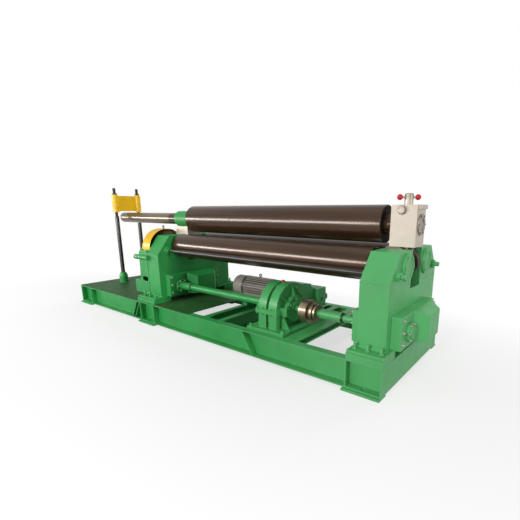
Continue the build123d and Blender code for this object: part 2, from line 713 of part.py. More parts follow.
with BuildPart() as roll_end_covers:
    with BuildSketch(x_plane(RIGHT_OUTER)):
        with Locations((-LOWER_ROLL_Y, LOWER_ROLL_Z), (LOWER_ROLL_Y, LOWER_ROLL_Z)):
            Circle(END_COVER_R)
    extrude(amount=END_COVER_THICKNESS)
    with BuildSketch(x_plane(RIGHT_OUTER + END_COVER_THICKNESS)):
        with Locations((-LOWER_ROLL_Y, LOWER_ROLL_Z), (LOWER_ROLL_Y, LOWER_ROLL_Z)):
            Circle(END_COVER_R * 0.8)
            Circle(END_COVER_R * 0.68, mode=Mode.SUBTRACT)
    extrude(amount=END_COVER_THICKNESS / 4)
roll_end_covers.part.label = "roll_end_covers"
export_step(roll_end_covers.part, "parts/roll_end_covers.step")

# Lower rolls: turned steel with a barrel, two journals and a gear seat at the left
GEAR_SEAT_STEP = 10
GEAR_STUB = 5
GEAR_SEAT_R = LOWER_JOURNAL_R - GEAR_SEAT_STEP
LOWER_ROLL_OUTLINE = (
    (GEAR_LEFT - GEAR_STUB, GEAR_SEAT_R),
    (GEAR_RIGHT, GEAR_SEAT_R),
    (GEAR_RIGHT, LOWER_JOURNAL_R),
    (BARREL_LEFT, LOWER_JOURNAL_R),
    (BARREL_LEFT, LOWER_ROLL_D / 2 - BARREL_CHAMFER),
    (BARREL_LEFT + BARREL_CHAMFER, LOWER_ROLL_D / 2),
    (BARREL_RIGHT - BARREL_CHAMFER, LOWER_ROLL_D / 2),
    (BARREL_RIGHT, LOWER_ROLL_D / 2 - BARREL_CHAMFER),
    (BARREL_RIGHT, LOWER_JOURNAL_R),
    (RIGHT_OUTER - 1, LOWER_JOURNAL_R),
)
front_lower_roll = turned_on_x(LOWER_ROLL_OUTLINE, -LOWER_ROLL_Y, LOWER_ROLL_Z)
front_lower_roll.part.label = "front_lower_roll"
export_step(front_lower_roll.part, "parts/front_lower_roll.step")

rear_lower_roll = turned_on_x(LOWER_ROLL_OUTLINE, LOWER_ROLL_Y, LOWER_ROLL_Z)
rear_lower_roll.part.label = "rear_lower_roll"
export_step(rear_lower_roll.part, "parts/rear_lower_roll.step")


# Roll gears and drive pinion: involute spur gears whose teeth are in mesh as drawn
def polar(radius, angle):
    """Point at a radius and an angle about the gear centre."""
    return (radius * cos(angle), radius * sin(angle))


def spur_gear(teeth, y, z, phase, inner_r, shaft_left=None):
    """Spur gear with a tooth centred on the phase angle, measured from +Y towards +Z.

    With shaft_left it has no bore but a shaft in one piece with it, which starts there.
    """
    pitch_r = MODULE * teeth / 2
    base_r = pitch_r * cos(PRESSURE_ANGLE)
    tip_r = pitch_r + MODULE
    root_r = pitch_r - 1.25 * MODULE
    start_r = max(base_r, root_r)
    half_tooth = pi / (2 * teeth) - BACKLASH / (2 * pitch_r)
    rise = tan(PRESSURE_ANGLE) - PRESSURE_ANGLE

    def flank(radius):
        """Half angle of the tooth at a radius on its involute."""
        roll = acos(base_r / radius)
        return half_tooth + rise - (tan(roll) - roll)

    middle_r = (start_r + tip_r) / 2
    pitch = 2 * pi / teeth
    with BuildPart() as gear:
        with BuildSketch(Plane(origin=(GEAR_LEFT, y, z), x_dir=(0, 1, 0), z_dir=(1, 0, 0))):
            with BuildLine():
                for tooth in range(teeth):
                    centre = phase + tooth * pitch
                    following = centre + pitch - flank(start_r)
                    root_in = polar(root_r, centre - flank(start_r))
                    root_out = polar(root_r, centre + flank(start_r))
                    rise_in = polar(start_r, centre - flank(start_r))
                    rise_out = polar(start_r, centre + flank(start_r))
                    tip_in = polar(tip_r, centre - flank(tip_r))
                    tip_out = polar(tip_r, centre + flank(tip_r))
                    Line(root_in, rise_in)
                    ThreePointArc(rise_in, polar(middle_r, centre - flank(middle_r)), tip_in)
                    Line(tip_in, tip_out)
                    ThreePointArc(tip_out, polar(middle_r, centre + flank(middle_r)), rise_out)
                    Line(rise_out, root_out)
                    Line(root_out, polar(root_r, following))
            make_face()
            if shaft_left is None:
                Circle(inner_r, mode=Mode.SUBTRACT)
        extrude(amount=GEAR_WIDTH)
        if shaft_left is not None:
            with BuildSketch(x_plane(shaft_left)):
                with Locations((y, z)):
                    Circle(inner_r)
            extrude(amount=GEAR_RIGHT + 5 - shaft_left)
    return gear


PINION_PHASE = pi / 2
TOOTH_PITCH = pi * MODULE


def meshing_phase(gear_y):
    """Phase that sets a roll gear's gap on the pinion's tooth along the line of centres."""
    towards = atan2(LOWER_ROLL_Z - PINION_Z, gear_y)
    pinion_step = PINION_R * (PINION_PHASE - towards)
    return towards + pi - (pinion_step + TOOTH_PITCH / 2) / GEAR_R


front_roll_gear = spur_gear(
    GEAR_TEETH, -LOWER_ROLL_Y, LOWER_ROLL_Z, meshing_phase(-LOWER_ROLL_Y), GEAR_SEAT_R + RUNNING_FIT
)
front_roll_gear.part.label = "front_roll_gear"
export_step(front_roll_gear.part, "parts/front_roll_gear.step")

rear_roll_gear = spur_gear(
    GEAR_TEETH, LOWER_ROLL_Y, LOWER_ROLL_Z, meshing_phase(LOWER_ROLL_Y), GEAR_SEAT_R + RUNNING_FIT
)
rear_roll_gear.part.label = "rear_roll_gear"
export_step(rear_roll_gear.part, "parts/rear_roll_gear.step")

# Drive pinion: cut in one piece with its shaft, which runs left into the main reducer
MAIN_SOCKET = 120
drive_pinion = spur_gear(
    PINION_TEETH, 0, PINION_Z, PINION_PHASE, PINION_SHAFT_R, MAIN_REDUCER_RIGHT - MAIN_SOCKET
)
drive_pinion.part.label = "drive_pinion"
export_step(drive_pinion.part, "parts/drive_pinion.step")

# Upper roll: barrel, left journal and long tail, and a steep taper that the tipping bearing can leave
TAPER_END = HOUSING_X + TAPER_LENGTH
TAPER_TIP_R = TAPER_ROOT_R - TAPER_SLOPE * TAPER_LENGTH
TAIL_ROUND = 40
TAIL_STEP = 20
upper_roll = turned_on_x(
    (
        (TAIL_END, TAIL_R - TAIL_ROUND),
        (TAIL_END + TAIL_ROUND * 0.3, TAIL_R - TAIL_ROUND * 0.3),
        (TAIL_END + TAIL_ROUND, TAIL_R),
        (COLLAR_LEFT - TAIL_STEP, TAIL_R),
        (COLLAR_LEFT - TAIL_STEP, UPPER_JOURNAL_R),
        (BARREL_LEFT, UPPER_JOURNAL_R),
        (BARREL_LEFT, UPPER_ROLL_D / 2 - BARREL_CHAMFER),
        (BARREL_LEFT + BARREL_CHAMFER, UPPER_ROLL_D / 2),
        (BARREL_RIGHT - BARREL_CHAMFER, UPPER_ROLL_D / 2),
        (BARREL_RIGHT, UPPER_ROLL_D / 2 - BARREL_CHAMFER),
        (BARREL_RIGHT, TAPER_ROOT_R + 8),
        (HOUSING_X - 8, TAPER_ROOT_R + 8),
        (HOUSING_X - 8, TAPER_ROOT_R),
        (HOUSING_X, TAPER_ROOT_R),
        (TAPER_END, TAPER_TIP_R),
    ),
    0,
    UPPER_ROLL_Z,
)
upper_roll.part.label = "upper_roll"
export_step(upper_roll.part, "parts/upper_roll.step")

# Left upper bearing: machined block that slides in the slot, with a round collar on its saddle
SADDLE_LAP = 10
SADDLE_TOP = UPPER_ROLL_Z - COLLAR_R + SADDLE_LAP
with BuildPart() as left_bearing_block:
    with BuildSketch(z_plane(CARRIAGE_BOTTOM)):
        with Locations((LEFT_STAND_X, 0)):
            Rectangle(STAND_THICKNESS, 2 * (SLOT_HALF - SLIDE_FIT))
    extrude(amount=SADDLE_TOP - CARRIAGE_BOTTOM)
    with BuildSketch(x_plane(LEFT_OUTER)):
        with Locations((0, UPPER_ROLL_Z)):
            Circle(COLLAR_R)
    extrude(amount=STAND_THICKNESS, mode=Mode.SUBTRACT)
left_bearing_block.part.label = "left_bearing_block"
export_step(left_bearing_block.part, "parts/left_bearing_block.step")

with BuildPart() as left_bearing_collar:
    with BuildSketch(x_plane(COLLAR_LEFT)):
        with Locations((0, UPPER_ROLL_Z)):
            Circle(COLLAR_R)
            Circle(UPPER_JOURNAL_R + RUNNING_FIT, mode=Mode.SUBTRACT)
    extrude(amount=COLLAR_LENGTH)
    chamfer(left_bearing_collar.edges().filter_by(GeomType.CIRCLE).sort_by(SortBy.RADIUS)[-2:], 6)
left_bearing_collar.part.label = "left_bearing_collar"
export_step(left_bearing_collar.part, "parts/left_bearing_collar.step")

# Right carriage: fork that slides in the slot, its outer top corner rounded about the tipping pin
FORK_GAP = 2
FORK_FLOOR = 22
CARRIAGE_INNER = RIGHT_INNER + 5
with BuildPart() as right_carriage:
    with BuildSketch(y_plane(0)):
        with BuildLine():
            Polyline(
                (RIGHT_OUTER, TIP_Z),
                (RIGHT_OUTER, CARRIAGE_BOTTOM + CARRIAGE_CHAMFER),
                (RIGHT_OUTER - CARRIAGE_CHAMFER, CARRIAGE_BOTTOM),
                (CARRIAGE_INNER, CARRIAGE_BOTTOM),
                (CARRIAGE_INNER, CARRIAGE_TOP),
                (TIP_X, CARRIAGE_TOP),
            )
            ThreePointArc(
                (TIP_X, CARRIAGE_TOP),
                (TIP_X + TIP_R * sin(pi / 4), TIP_Z + TIP_R * cos(pi / 4)),
                (RIGHT_OUTER, TIP_Z),
            )
        make_face()
    extrude(amount=SLOT_HALF - SLIDE_FIT, both=True)
    with BuildSketch(z_plane(CARRIAGE_BOTTOM + FORK_FLOOR)):
        with Locations(((TIP_X - TONGUE_LENGTH / 2 - FORK_GAP + RIGHT_OUTER) / 2, 0)):
            Rectangle(RIGHT_OUTER - TIP_X + TONGUE_LENGTH / 2 + FORK_GAP, 2 * (TONGUE_HALF + FORK_GAP / 2))
    extrude(amount=CARRIAGE_TOP - CARRIAGE_BOTTOM, mode=Mode.SUBTRACT)
    with BuildSketch(y_plane(0)):
        with Locations((TIP_X, TIP_Z)):
            Circle(TIP_PIN_R + RUNNING_FIT)
    extrude(amount=SLOT_HALF, both=True, mode=Mode.SUBTRACT)
right_carriage.part.label = "right_carriage"
export_step(right_carriage.part, "parts/right_carriage.step")

with BuildPart() as tip_pin:
    with BuildSketch(y_plane(0)):
        with Locations((TIP_X, TIP_Z)):
            Circle(TIP_PIN_R)
    extrude(amount=SLOT_HALF - 2, both=True)
tip_pin.part.label = "tip_pin"
export_step(tip_pin.part, "parts/tip_pin.step")

# Lift screws under both upper bearings
SCREW_SEAT = 40
SCREW_BOTTOM = HUB_Z + SCREW_SEAT
lift_screws = turned_on_z(
    ((SCREW_R - 5, SCREW_BOTTOM), (SCREW_R, SCREW_BOTTOM + 5), (SCREW_R, CARRIAGE_BOTTOM)),
    ((LEFT_STAND_X, 0), (RIGHT_STAND_X, 0)),
)
lift_screws.part.label = "lift_screws"
export_step(lift_screws.part, "parts/lift_screws.step")


# Worm wheels: the turning nuts of the lift screws, with a rim, a web and a long hub
def worm_wheel(x):
    """One wheel about the screw axis at x."""
    rim = 45
    web = WHEEL_THICKNESS / 4
    with BuildPart() as wheel:
        with BuildSketch(z_plane(SHAFT_Z)):
            with Locations((x, 0)):
                Circle(WHEEL_R - rim)
        extrude(amount=web, both=True)
        with BuildSketch(z_plane(WHEEL_Z)):
            with Locations((x, 0)):
                Circle(WHEEL_R)
                Circle(WHEEL_R - rim, mode=Mode.SUBTRACT)
        extrude(amount=WHEEL_THICKNESS)
        with BuildSketch(z_plane(HUB_Z)):
            with Locations((x, 0)):
                Circle(HUB_R)
        extrude(amount=HUB_HEIGHT)
        with BuildSketch(z_plane(HUB_Z)):
            with Locations((x, 0)):
                Circle(SCREW_R + RUNNING_FIT)
        extrude(amount=HUB_HEIGHT, mode=Mode.SUBTRACT)
    return wheel


left_worm_wheel = worm_wheel(LEFT_STAND_X)
left_worm_wheel.part.label = "left_worm_wheel"
export_step(left_worm_wheel.part, "parts/left_worm_wheel.step")

right_worm_wheel = worm_wheel(RIGHT_STAND_X)
right_worm_wheel.part.label = "right_worm_wheel"
export_step(right_worm_wheel.part, "parts/right_worm_wheel.step")

# Worm cases: castings over the wheel windows, each with a flat part for the shaft and a tapering hood for the
# wheel, and a plain box at the left round the end of the left worm shaft
CASE_FRONT_REACH = 175
CASE_REAR_LAP = 20
CASE_FRONT_Y = SHAFT_Y - CASE_FRONT_REACH
CASE_REAR_Y = WINDOW_HALF + CASE_REAR_LAP
CASE_LAP = 60
CASE_TOP = WINDOW_TOP + CASE_LAP
HOOD_ROOT_HALF = 240
HOOD_TIP_HALF = 143
HOOD_DROP = 45


END_BOX_DEPTH = 150
END_BOX_TOP = 520
END_BOX_REAR = 110
END_BOX_REAR_Y = SHAFT_Y + END_BOX_REAR
SHAFT_END_REACH = 90
SHAFT_END_ROOM = 10
SHAFT_END_LEFT = CASE_LEFT - SHAFT_END_REACH
WHEEL_ROOM = 12
with BuildPart() as worm_cases:
    for face_x, side in ((LEFT_INNER, 1), (RIGHT_INNER, -1), (RIGHT_OUTER, 1)):
        flat_x = face_x + side * CASE_FLANGE_DEPTH
        tip_x = flat_x + side * HOOD_DEPTH
        wheel_x = face_x - side * STAND_THICKNESS / 2
        with BuildSketch(x_plane(face_x)):
            with Locations(((CASE_FRONT_Y + CASE_REAR_Y) / 2, (STAND_BASE + CASE_TOP) / 2)):
                Rectangle(CASE_REAR_Y - CASE_FRONT_Y, CASE_TOP - STAND_BASE)
        extrude(amount=side * CASE_FLANGE_DEPTH)
        with BuildSketch(x_plane(flat_x)):
            with Locations((0, (STAND_BASE + CASE_TOP) / 2)):
                Rectangle(2 * HOOD_ROOT_HALF, CASE_TOP - STAND_BASE)
        with BuildSketch(x_plane(tip_x)):
            with Locations((0, (STAND_BASE + CASE_TOP - HOOD_DROP) / 2)):
                Rectangle(2 * HOOD_TIP_HALF, CASE_TOP - HOOD_DROP - STAND_BASE)
        loft()
        with BuildSketch(z_plane(WHEEL_Z - WHEEL_ROOM)):
            with Locations((wheel_x, 0)):
                Circle(WHEEL_R + WHEEL_ROOM)
        extrude(amount=WHEEL_THICKNESS + 2 * WHEEL_ROOM, mode=Mode.SUBTRACT)
        with BuildSketch(x_plane(face_x)):
            with Locations((SHAFT_Y, SHAFT_Z)):
                Circle(SHAFT_R + SHAFT_CLEARANCE)
        extrude(amount=side * CASE_FLANGE_DEPTH, mode=Mode.SUBTRACT)
    with BuildSketch(x_plane(CASE_LEFT - END_BOX_DEPTH)):
        with Locations(((END_BOX_REAR_Y - STAND_HALF_WIDTH) / 2, (STAND_BASE + END_BOX_TOP) / 2)):
            Rectangle(END_BOX_REAR_Y + STAND_HALF_WIDTH, END_BOX_TOP - STAND_BASE)
    extrude(amount=END_BOX_DEPTH)
    with BuildSketch(x_plane(SHAFT_END_LEFT - SHAFT_END_ROOM)):
        with Locations((SHAFT_Y, SHAFT_Z)):
            Circle(SHAFT_R + RUNNING_FIT)
    extrude(amount=CASE_LEFT - SHAFT_END_LEFT + SHAFT_END_ROOM, mode=Mode.SUBTRACT)
worm_cases.part.label = "worm_cases"
export_step(worm_cases.part, "parts/worm_cases.step")

# Bearing flanges: for the worm shafts, closed on the right stand's outer side, and for the pinion shaft
BEARING_LENGTH = 50
PINION_FLANGE_MARGIN = 45
with BuildPart() as bearing_flanges:
    for flange_x, side in ((LEFT_INNER, 1), (RIGHT_INNER, -1), (RIGHT_OUTER, 1)):
        flat_x = flange_x + side * CASE_FLANGE_DEPTH
        with BuildSketch(x_plane(flat_x)):
            with Locations((SHAFT_Y, SHAFT_Z)):
                Circle(FLANGE_R)
                Circle(SHAFT_R + RUNNING_FIT, mode=Mode.SUBTRACT)
        extrude(amount=side * FLANGE_PLATE)
        with BuildSketch(x_plane(flat_x + side * FLANGE_PLATE)):
            with Locations((SHAFT_Y, SHAFT_Z)):
                Circle(FLANGE_R * 0.62)
                if flange_x != RIGHT_OUTER:
                    Circle(SHAFT_R + RUNNING_FIT, mode=Mode.SUBTRACT)
        extrude(amount=side * FLANGE_PLATE / 2)
    with BuildSketch(x_plane(CASE_LEFT - FLANGE_PLATE)):
        with Locations((0, PINION_Z)):
            Circle(PINION_HOLE_R + PINION_FLANGE_MARGIN)
            Circle(PINION_SHAFT_R + RUNNING_FIT, mode=Mode.SUBTRACT)
    extrude(amount=FLANGE_PLATE)
    with BuildSketch(x_plane(CASE_LEFT - BEARING_LENGTH)):
        with Locations((0, PINION_Z)):
            Circle(PINION_HOLE_R)
            Circle(PINION_SHAFT_R + RUNNING_FIT, mode=Mode.SUBTRACT)
    extrude(amount=BEARING_LENGTH + CASE_WALL - 1)
bearing_flanges.part.label = "bearing_flanges"
export_step(bearing_flanges.part, "parts/bearing_flanges.step")

# Lift shafts: on each side a cross shaft to the clutch and a worm shaft through the stand, joined by a sleeve
LEFT_SLEEVE_START = 130
LEFT_SLEEVE_STOP = 310
RIGHT_SLEEVE_STOP = 280
SLEEVE_GAP = 5
SLEEVE_OVERLAP = 90
SLEEVE_RIM = 12
SLEEVE_RIM_PROUD = 4
LEFT_SLEEVE = (LEFT_INNER + LEFT_SLEEVE_START, LEFT_INNER + LEFT_SLEEVE_STOP)
CLUTCH_FACE = CLUTCH_LEFT + CLUTCH_FIXED_LENGTH
CLUTCH_MIDDLE = CLUTCH_FACE + JAW_LENGTH / 2
CLUTCH_RIGHT = CLUTCH_FACE + JAW_LENGTH + CLUTCH_SLIDING_LENGTH + FORK_GROOVE + FORK_COLLAR
RIGHT_SLEEVE = (CLUTCH_RIGHT + CLUTCH_STROKE + SLEEVE_GAP, RIGHT_INNER - RIGHT_SLEEVE_STOP)
LEFT_HUB_END = REDUCER_LEFT - BOSS_STAND - CAP_PLATE - LEFT_HUB
LEFT_JOINT = LEFT_SLEEVE[0] + SLEEVE_OVERLAP
RIGHT_JOINT = RIGHT_SLEEVE[1] - SLEEVE_OVERLAP
RIGHT_SHAFT_END = RIGHT_OUTER + CASE_FLANGE_DEPTH + FLANGE_PLATE - 1


def lift_shafts(sections):
    """Shafts end to end on the lift axis, from (left, right, radius) sections; the thick ones are worms."""
    with BuildPart() as shafts:
        for left, right, radius in sections:
            with BuildSketch(x_plane(left)):
                with Locations((SHAFT_Y, SHAFT_Z)):
                    Circle(radius)
            extrude(amount=right - left)
    return shafts


def worm_section(stand_x):
    """Section of the worm that drives the wheel in the stand at stand_x."""
    return (stand_x - WORM_LENGTH / 2, stand_x + WORM_LENGTH / 2, WORM_R)


SHAFT_SHOULDER = 6
left_lift_shafts = lift_shafts(
    (
        (SHAFT_END_LEFT, LEFT_JOINT - 1, SHAFT_R),
        (LEFT_JOINT + 1, CLUTCH_MIDDLE - 2, SHAFT_R),
        (LEFT_SLEEVE[1] + SHAFT_SHOULDER, LEFT_HUB_END - SHAFT_SHOULDER, CROSS_SHAFT_R),
        worm_section(LEFT_STAND_X),
    )
)
left_lift_shafts.part.label = "left_lift_shafts"
export_step(left_lift_shafts.part, "parts/left_lift_shafts.step")

right_lift_shafts = lift_shafts(
    (
        (CLUTCH_MIDDLE + 2, RIGHT_JOINT - 1, SHAFT_R),
        (RIGHT_JOINT + 1, RIGHT_SHAFT_END, SHAFT_R),
        worm_section(RIGHT_STAND_X),
    )
)
right_lift_shafts.part.label = "right_lift_shafts"
export_step(right_lift_shafts.part, "parts/right_lift_shafts.step")


def shaft_sleeve(span):
    """Plain coupling sleeve over a shaft joint, with a raised rim at its right end."""
    with BuildPart() as sleeve:
        with BuildSketch(x_plane(span[0])):
            with Locations((SHAFT_Y, SHAFT_Z)):
                Circle(SLEEVE_R)
        extrude(amount=span[1] - span[0])
        with BuildSketch(x_plane(span[1] - SLEEVE_RIM)):
            with Locations((SHAFT_Y, SHAFT_Z)):
                Circle(SLEEVE_R + SLEEVE_RIM_PROUD)
        extrude(amount=SLEEVE_RIM)
        with BuildSketch(x_plane(span[0])):
            with Locations((SHAFT_Y, SHAFT_Z)):
                Circle(SHAFT_R + RUNNING_FIT)
        extrude(amount=span[1] - span[0], mode=Mode.SUBTRACT)
    return sleeve


left_sleeve = shaft_sleeve(LEFT_SLEEVE)
left_sleeve.part.label = "left_sleeve"
export_step(left_sleeve.part, "parts/left_sleeve.step")

right_sleeve = shaft_sleeve(RIGHT_SLEEVE)
right_sleeve.part.label = "right_sleeve"
export_step(right_sleeve.part, "parts/right_sleeve.step")


# Jaw clutch: a fixed drum on the left shaft and a half with a shifter groove that slides on the right shaft
def clutch_half(face_x, side, steps, jaw_turn):
    """Half with its stepped body on one side of face_x and jaws that reach across to the other half.

    The steps are (length, radius) pairs, counted from the face.
    """
    jaw_half_angle = degrees(pi / JAW_COUNT) / 2 - 1
    jaw_outer = CLUTCH_SLIDING_R - 4
    jaw_inner = SHAFT_R + 12
    with BuildPart() as half:
        step_x = face_x
        for length, radius in steps:
            with BuildSketch(x_plane(step_x)):
                with Locations((SHAFT_Y, SHAFT_Z)):
                    Circle(radius)
            extrude(amount=-side * length)
            step_x = step_x - side * length
        with BuildSketch(Plane(origin=(face_x, SHAFT_Y, SHAFT_Z), x_dir=(0, 1, 0), z_dir=(1, 0, 0))):
            for jaw in range(JAW_COUNT):
                middle = radians(jaw_turn + jaw * 360 / JAW_COUNT)
                spread = radians(jaw_half_angle)
                with BuildLine():
                    Line(polar(jaw_inner, middle - spread), polar(jaw_outer, middle - spread))
                    ThreePointArc(
                        polar(jaw_outer, middle - spread),
                        polar(jaw_outer, middle),
                        polar(jaw_outer, middle + spread),
                    )
                    Line(polar(jaw_outer, middle + spread), polar(jaw_inner, middle + spread))
                    ThreePointArc(
                        polar(jaw_inner, middle + spread),
                        polar(jaw_inner, middle),
                        polar(jaw_inner, middle - spread),
                    )
                make_face()
        extrude(amount=side * (JAW_LENGTH - 1))
        with BuildSketch(x_plane(step_x)):
            with Locations((SHAFT_Y, SHAFT_Z)):
                Circle(SHAFT_R + RUNNING_FIT)
        extrude(amount=face_x + side * JAW_LENGTH - step_x, mode=Mode.SUBTRACT)
    return half


clutch_fixed = clutch_half(
    CLUTCH_FACE, 1, ((CLUTCH_FIXED_LENGTH, CLUTCH_FIXED_R), (CLUTCH_HUB, CLUTCH_HUB_R)), 0
)
clutch_fixed.part.label = "clutch_fixed"
export_step(clutch_fixed.part, "parts/clutch_fixed.step")

clutch_sliding = clutch_half(
    CLUTCH_FACE + JAW_LENGTH,
    -1,
    ((CLUTCH_SLIDING_LENGTH, CLUTCH_SLIDING_R), (FORK_GROOVE, FORK_GROOVE_R), (FORK_COLLAR, FORK_COLLAR_R)),
    180 / JAW_COUNT,
)
clutch_sliding.part.label = "clutch_sliding"
export_step(clutch_sliding.part, "parts/clutch_sliding.step")


# Gear reducers: a cast lower half with feet and ribs and a domed upper half, split at shaft height
LUG_REACH = 78
LUG_HEIGHT = 40
LUG_SPAN = 60
LUG_GAP = 5
RIB_THICKNESS = 18
INPUT_BOX_HALF = 78
INPUT_BOX_REACH = 38
INPUT_BOX_DEPTH = 92
FLANGE_SIDE = 20
FLANGE_END = 35
GUSSET_INSET = 10
SHAFT_HOLE_GAP = 1
COVER_RIB_SLOPE = -49


def reducer_arch(y, z, centres, big_r, small_r):
    """Upper outline of a reducer in Y and Z: a dome over the big gear, a ridge that falls from it and a low
    step over the input shaft."""
    rear = y + centres + small_r
    ridge = (y + 0.66 * centres, z + 0.8 * big_r)
    step = (y + 0.78 * centres, z + small_r)
    reach = sqrt((ridge[0] - y) ** 2 + (ridge[1] - z) ** 2)
    lean = atan2(ridge[1] - z, ridge[0] - y) + acos(big_r / reach)
    tangent = (y + big_r * cos(lean), z + big_r * sin(lean))
    turn = (y - big_r * cos(pi / 4), z + big_r * sin(pi / 4))
    Polyline((y - big_r, z), (rear, z), (rear, z + small_r), step, ridge, tangent)
    ThreePointArc(tangent, turn, (y - big_r, z))


def half_disc(y, z, radius, up):
    """Outline of a half disc round a shaft, above the split line if up is 1 and below it if up is -1."""
    ThreePointArc((y - radius, z), (y, z + up * radius), (y + radius, z))
    Line((y + radius, z), (y - radius, z))


def reducer_cover(left, width, y, z, centres, big_r, small_r, cap_r, shafts):
    """Upper half: domed body, two raised bands over the big gear, a rib on each side and the split flange."""
    band_r = big_r + BAND_HEIGHT
    band = (width - BAND_GAP) / 2
    lug_y = cap_r + LUG_GAP + LUG_SPAN / 2
    with BuildPart() as cover:
        with BuildSketch(x_plane(left)):
            with BuildLine():
                reducer_arch(y, z, centres, big_r, small_r)
            make_face()
        extrude(amount=width)
        for disc_x, length, radius in (
            (left, band, band_r),
            (left + band + BAND_GAP, band, band_r),
            (left - BOSS_STAND, width + 2 * BOSS_STAND, cap_r),
        ):
            with BuildSketch(x_plane(disc_x)):
                with BuildLine():
                    half_disc(y, z, radius, 1)
                make_face()
            extrude(amount=length)
        with BuildSketch(x_plane(left - RIB_THICKNESS)):
            with Locations((y + 0.42 * big_r, z + 0.62 * big_r)):
                Rectangle(0.62 * big_r, RIB_THICKNESS, rotation=COVER_RIB_SLOPE)
        extrude(amount=width + 2 * RIB_THICKNESS)
        with BuildSketch(z_plane(z)):
            with Locations((left + width / 2, y - lug_y), (left + width / 2, y + lug_y)):
                Rectangle(width + 2 * LUG_REACH, LUG_SPAN)
        extrude(amount=LUG_HEIGHT)
        with BuildSketch(z_plane(z)):
            with Locations((left + width / 2, y + centres)):
                Rectangle(width + 2 * INPUT_BOX_REACH, 2 * INPUT_BOX_HALF)
        extrude(amount=small_r + BAND_HEIGHT)
        with BuildSketch(z_plane(z)):
            with Locations((left + width / 2, y + (centres + small_r - big_r) / 2)):
                Rectangle(width + 2 * FLANGE_SIDE, centres + small_r + big_r + 2 * FLANGE_END)
        extrude(amount=SPLIT_FLANGE)
        with BuildSketch(x_plane(left - LUG_REACH)):
            for shaft_y, shaft_r in shafts:
                with Locations((shaft_y, z)):
                    Circle(shaft_r + SHAFT_HOLE_GAP)
        extrude(amount=width + 2 * LUG_REACH, mode=Mode.SUBTRACT)
    return cover


def reducer_base(left, width, y, z, foot_z, foot_side, centres, big_r, small_r, cap_r, shafts):
    """Lower half: trough with two broad front ribs, split flange, foot plate and side gussets."""
    front = y - big_r
    rear = y + centres + small_r
    middle = (front + rear) / 2
    band = (width - BAND_GAP) / 2
    lug_y = cap_r + LUG_GAP + LUG_SPAN / 2
    rib_y = front + FLANGE_END / 2
    with BuildPart() as base:
        with BuildSketch(z_plane(foot_z)):
            with Locations((left + width / 2, middle)):
                Rectangle(width * 0.86, rear - front)
            with Locations((left + band / 2, rib_y), (left + width - band / 2, rib_y)):
                Rectangle(band, FLANGE_END + 2 * BAND_HEIGHT)
        extrude(amount=z - foot_z)
        with BuildSketch(z_plane(foot_z)):
            with Locations((left + width / 2, middle)):
                Rectangle(width + 2 * foot_side, rear - front + 2 * REDUCER_FOOT_END)
        extrude(amount=REDUCER_FOOT)
        with BuildSketch(z_plane(z - SPLIT_FLANGE)):
            with Locations((left + width / 2, middle)):
                Rectangle(width + 2 * FLANGE_SIDE, rear - front + 2 * FLANGE_END)
        extrude(amount=SPLIT_FLANGE)
        for gusset_y in (y - lug_y, y + lug_y, y + centres):
            with BuildSketch(y_plane(gusset_y)):
                with BuildLine():
                    Polyline(
                        (left - foot_side + GUSSET_INSET, foot_z),
                        (left + width + foot_side - GUSSET_INSET, foot_z),
                        (left + width + GUSSET_INSET, z - SPLIT_FLANGE),
                        (left - GUSSET_INSET, z - SPLIT_FLANGE),
                        close=True,
                    )
                make_face()
            extrude(amount=RIB_THICKNESS / 2, both=True)
        with BuildSketch(x_plane(left - BOSS_STAND)):
            with BuildLine():
                half_disc(y, z, cap_r, -1)
            make_face()
        extrude(amount=width + 2 * BOSS_STAND)
        with BuildSketch(z_plane(z)):
            with Locations((left + width / 2, y - lug_y), (left + width / 2, y + lug_y)):
                Rectangle(width + 2 * LUG_REACH, LUG_SPAN)
        extrude(amount=-LUG_HEIGHT)
        with BuildSketch(z_plane(z)):
            with Locations((left + width / 2, y + centres)):
                Rectangle(width + 2 * INPUT_BOX_REACH, 2 * INPUT_BOX_HALF)
        extrude(amount=-INPUT_BOX_DEPTH)
        with BuildSketch(x_plane(left - LUG_REACH)):
            for shaft_y, shaft_r in shafts:
                with Locations((shaft_y, z)):
                    Circle(shaft_r + SHAFT_HOLE_GAP)
        extrude(amount=width + 2 * LUG_REACH, mode=Mode.SUBTRACT)
    return base


MOTOR_SHAFT_R = 19
LIFT_SHAFTS = ((SHAFT_Y, SHAFT_R), (INPUT_Y, MOTOR_SHAFT_R))
LIFT_GEARS = (REDUCER_CENTRES, REDUCER_BIG_R, REDUCER_SMALL_R, CAP_R, LIFT_SHAFTS)
lift_reducer_base = reducer_base(
    REDUCER_LEFT, REDUCER_WIDTH, SHAFT_Y, SHAFT_Z, BEAM_TOP, REDUCER_FOOT_SIDE, *LIFT_GEARS
)
lift_reducer_base.part.label = "lift_reducer_base"
export_step(lift_reducer_base.part, "parts/lift_reducer_base.step")

lift_reducer_cover = reducer_cover(REDUCER_LEFT, REDUCER_WIDTH, SHAFT_Y, SHAFT_Z, *LIFT_GEARS)
lift_reducer_cover.part.label = "lift_reducer_cover"
export_step(lift_reducer_cover.part, "parts/lift_reducer_cover.step")

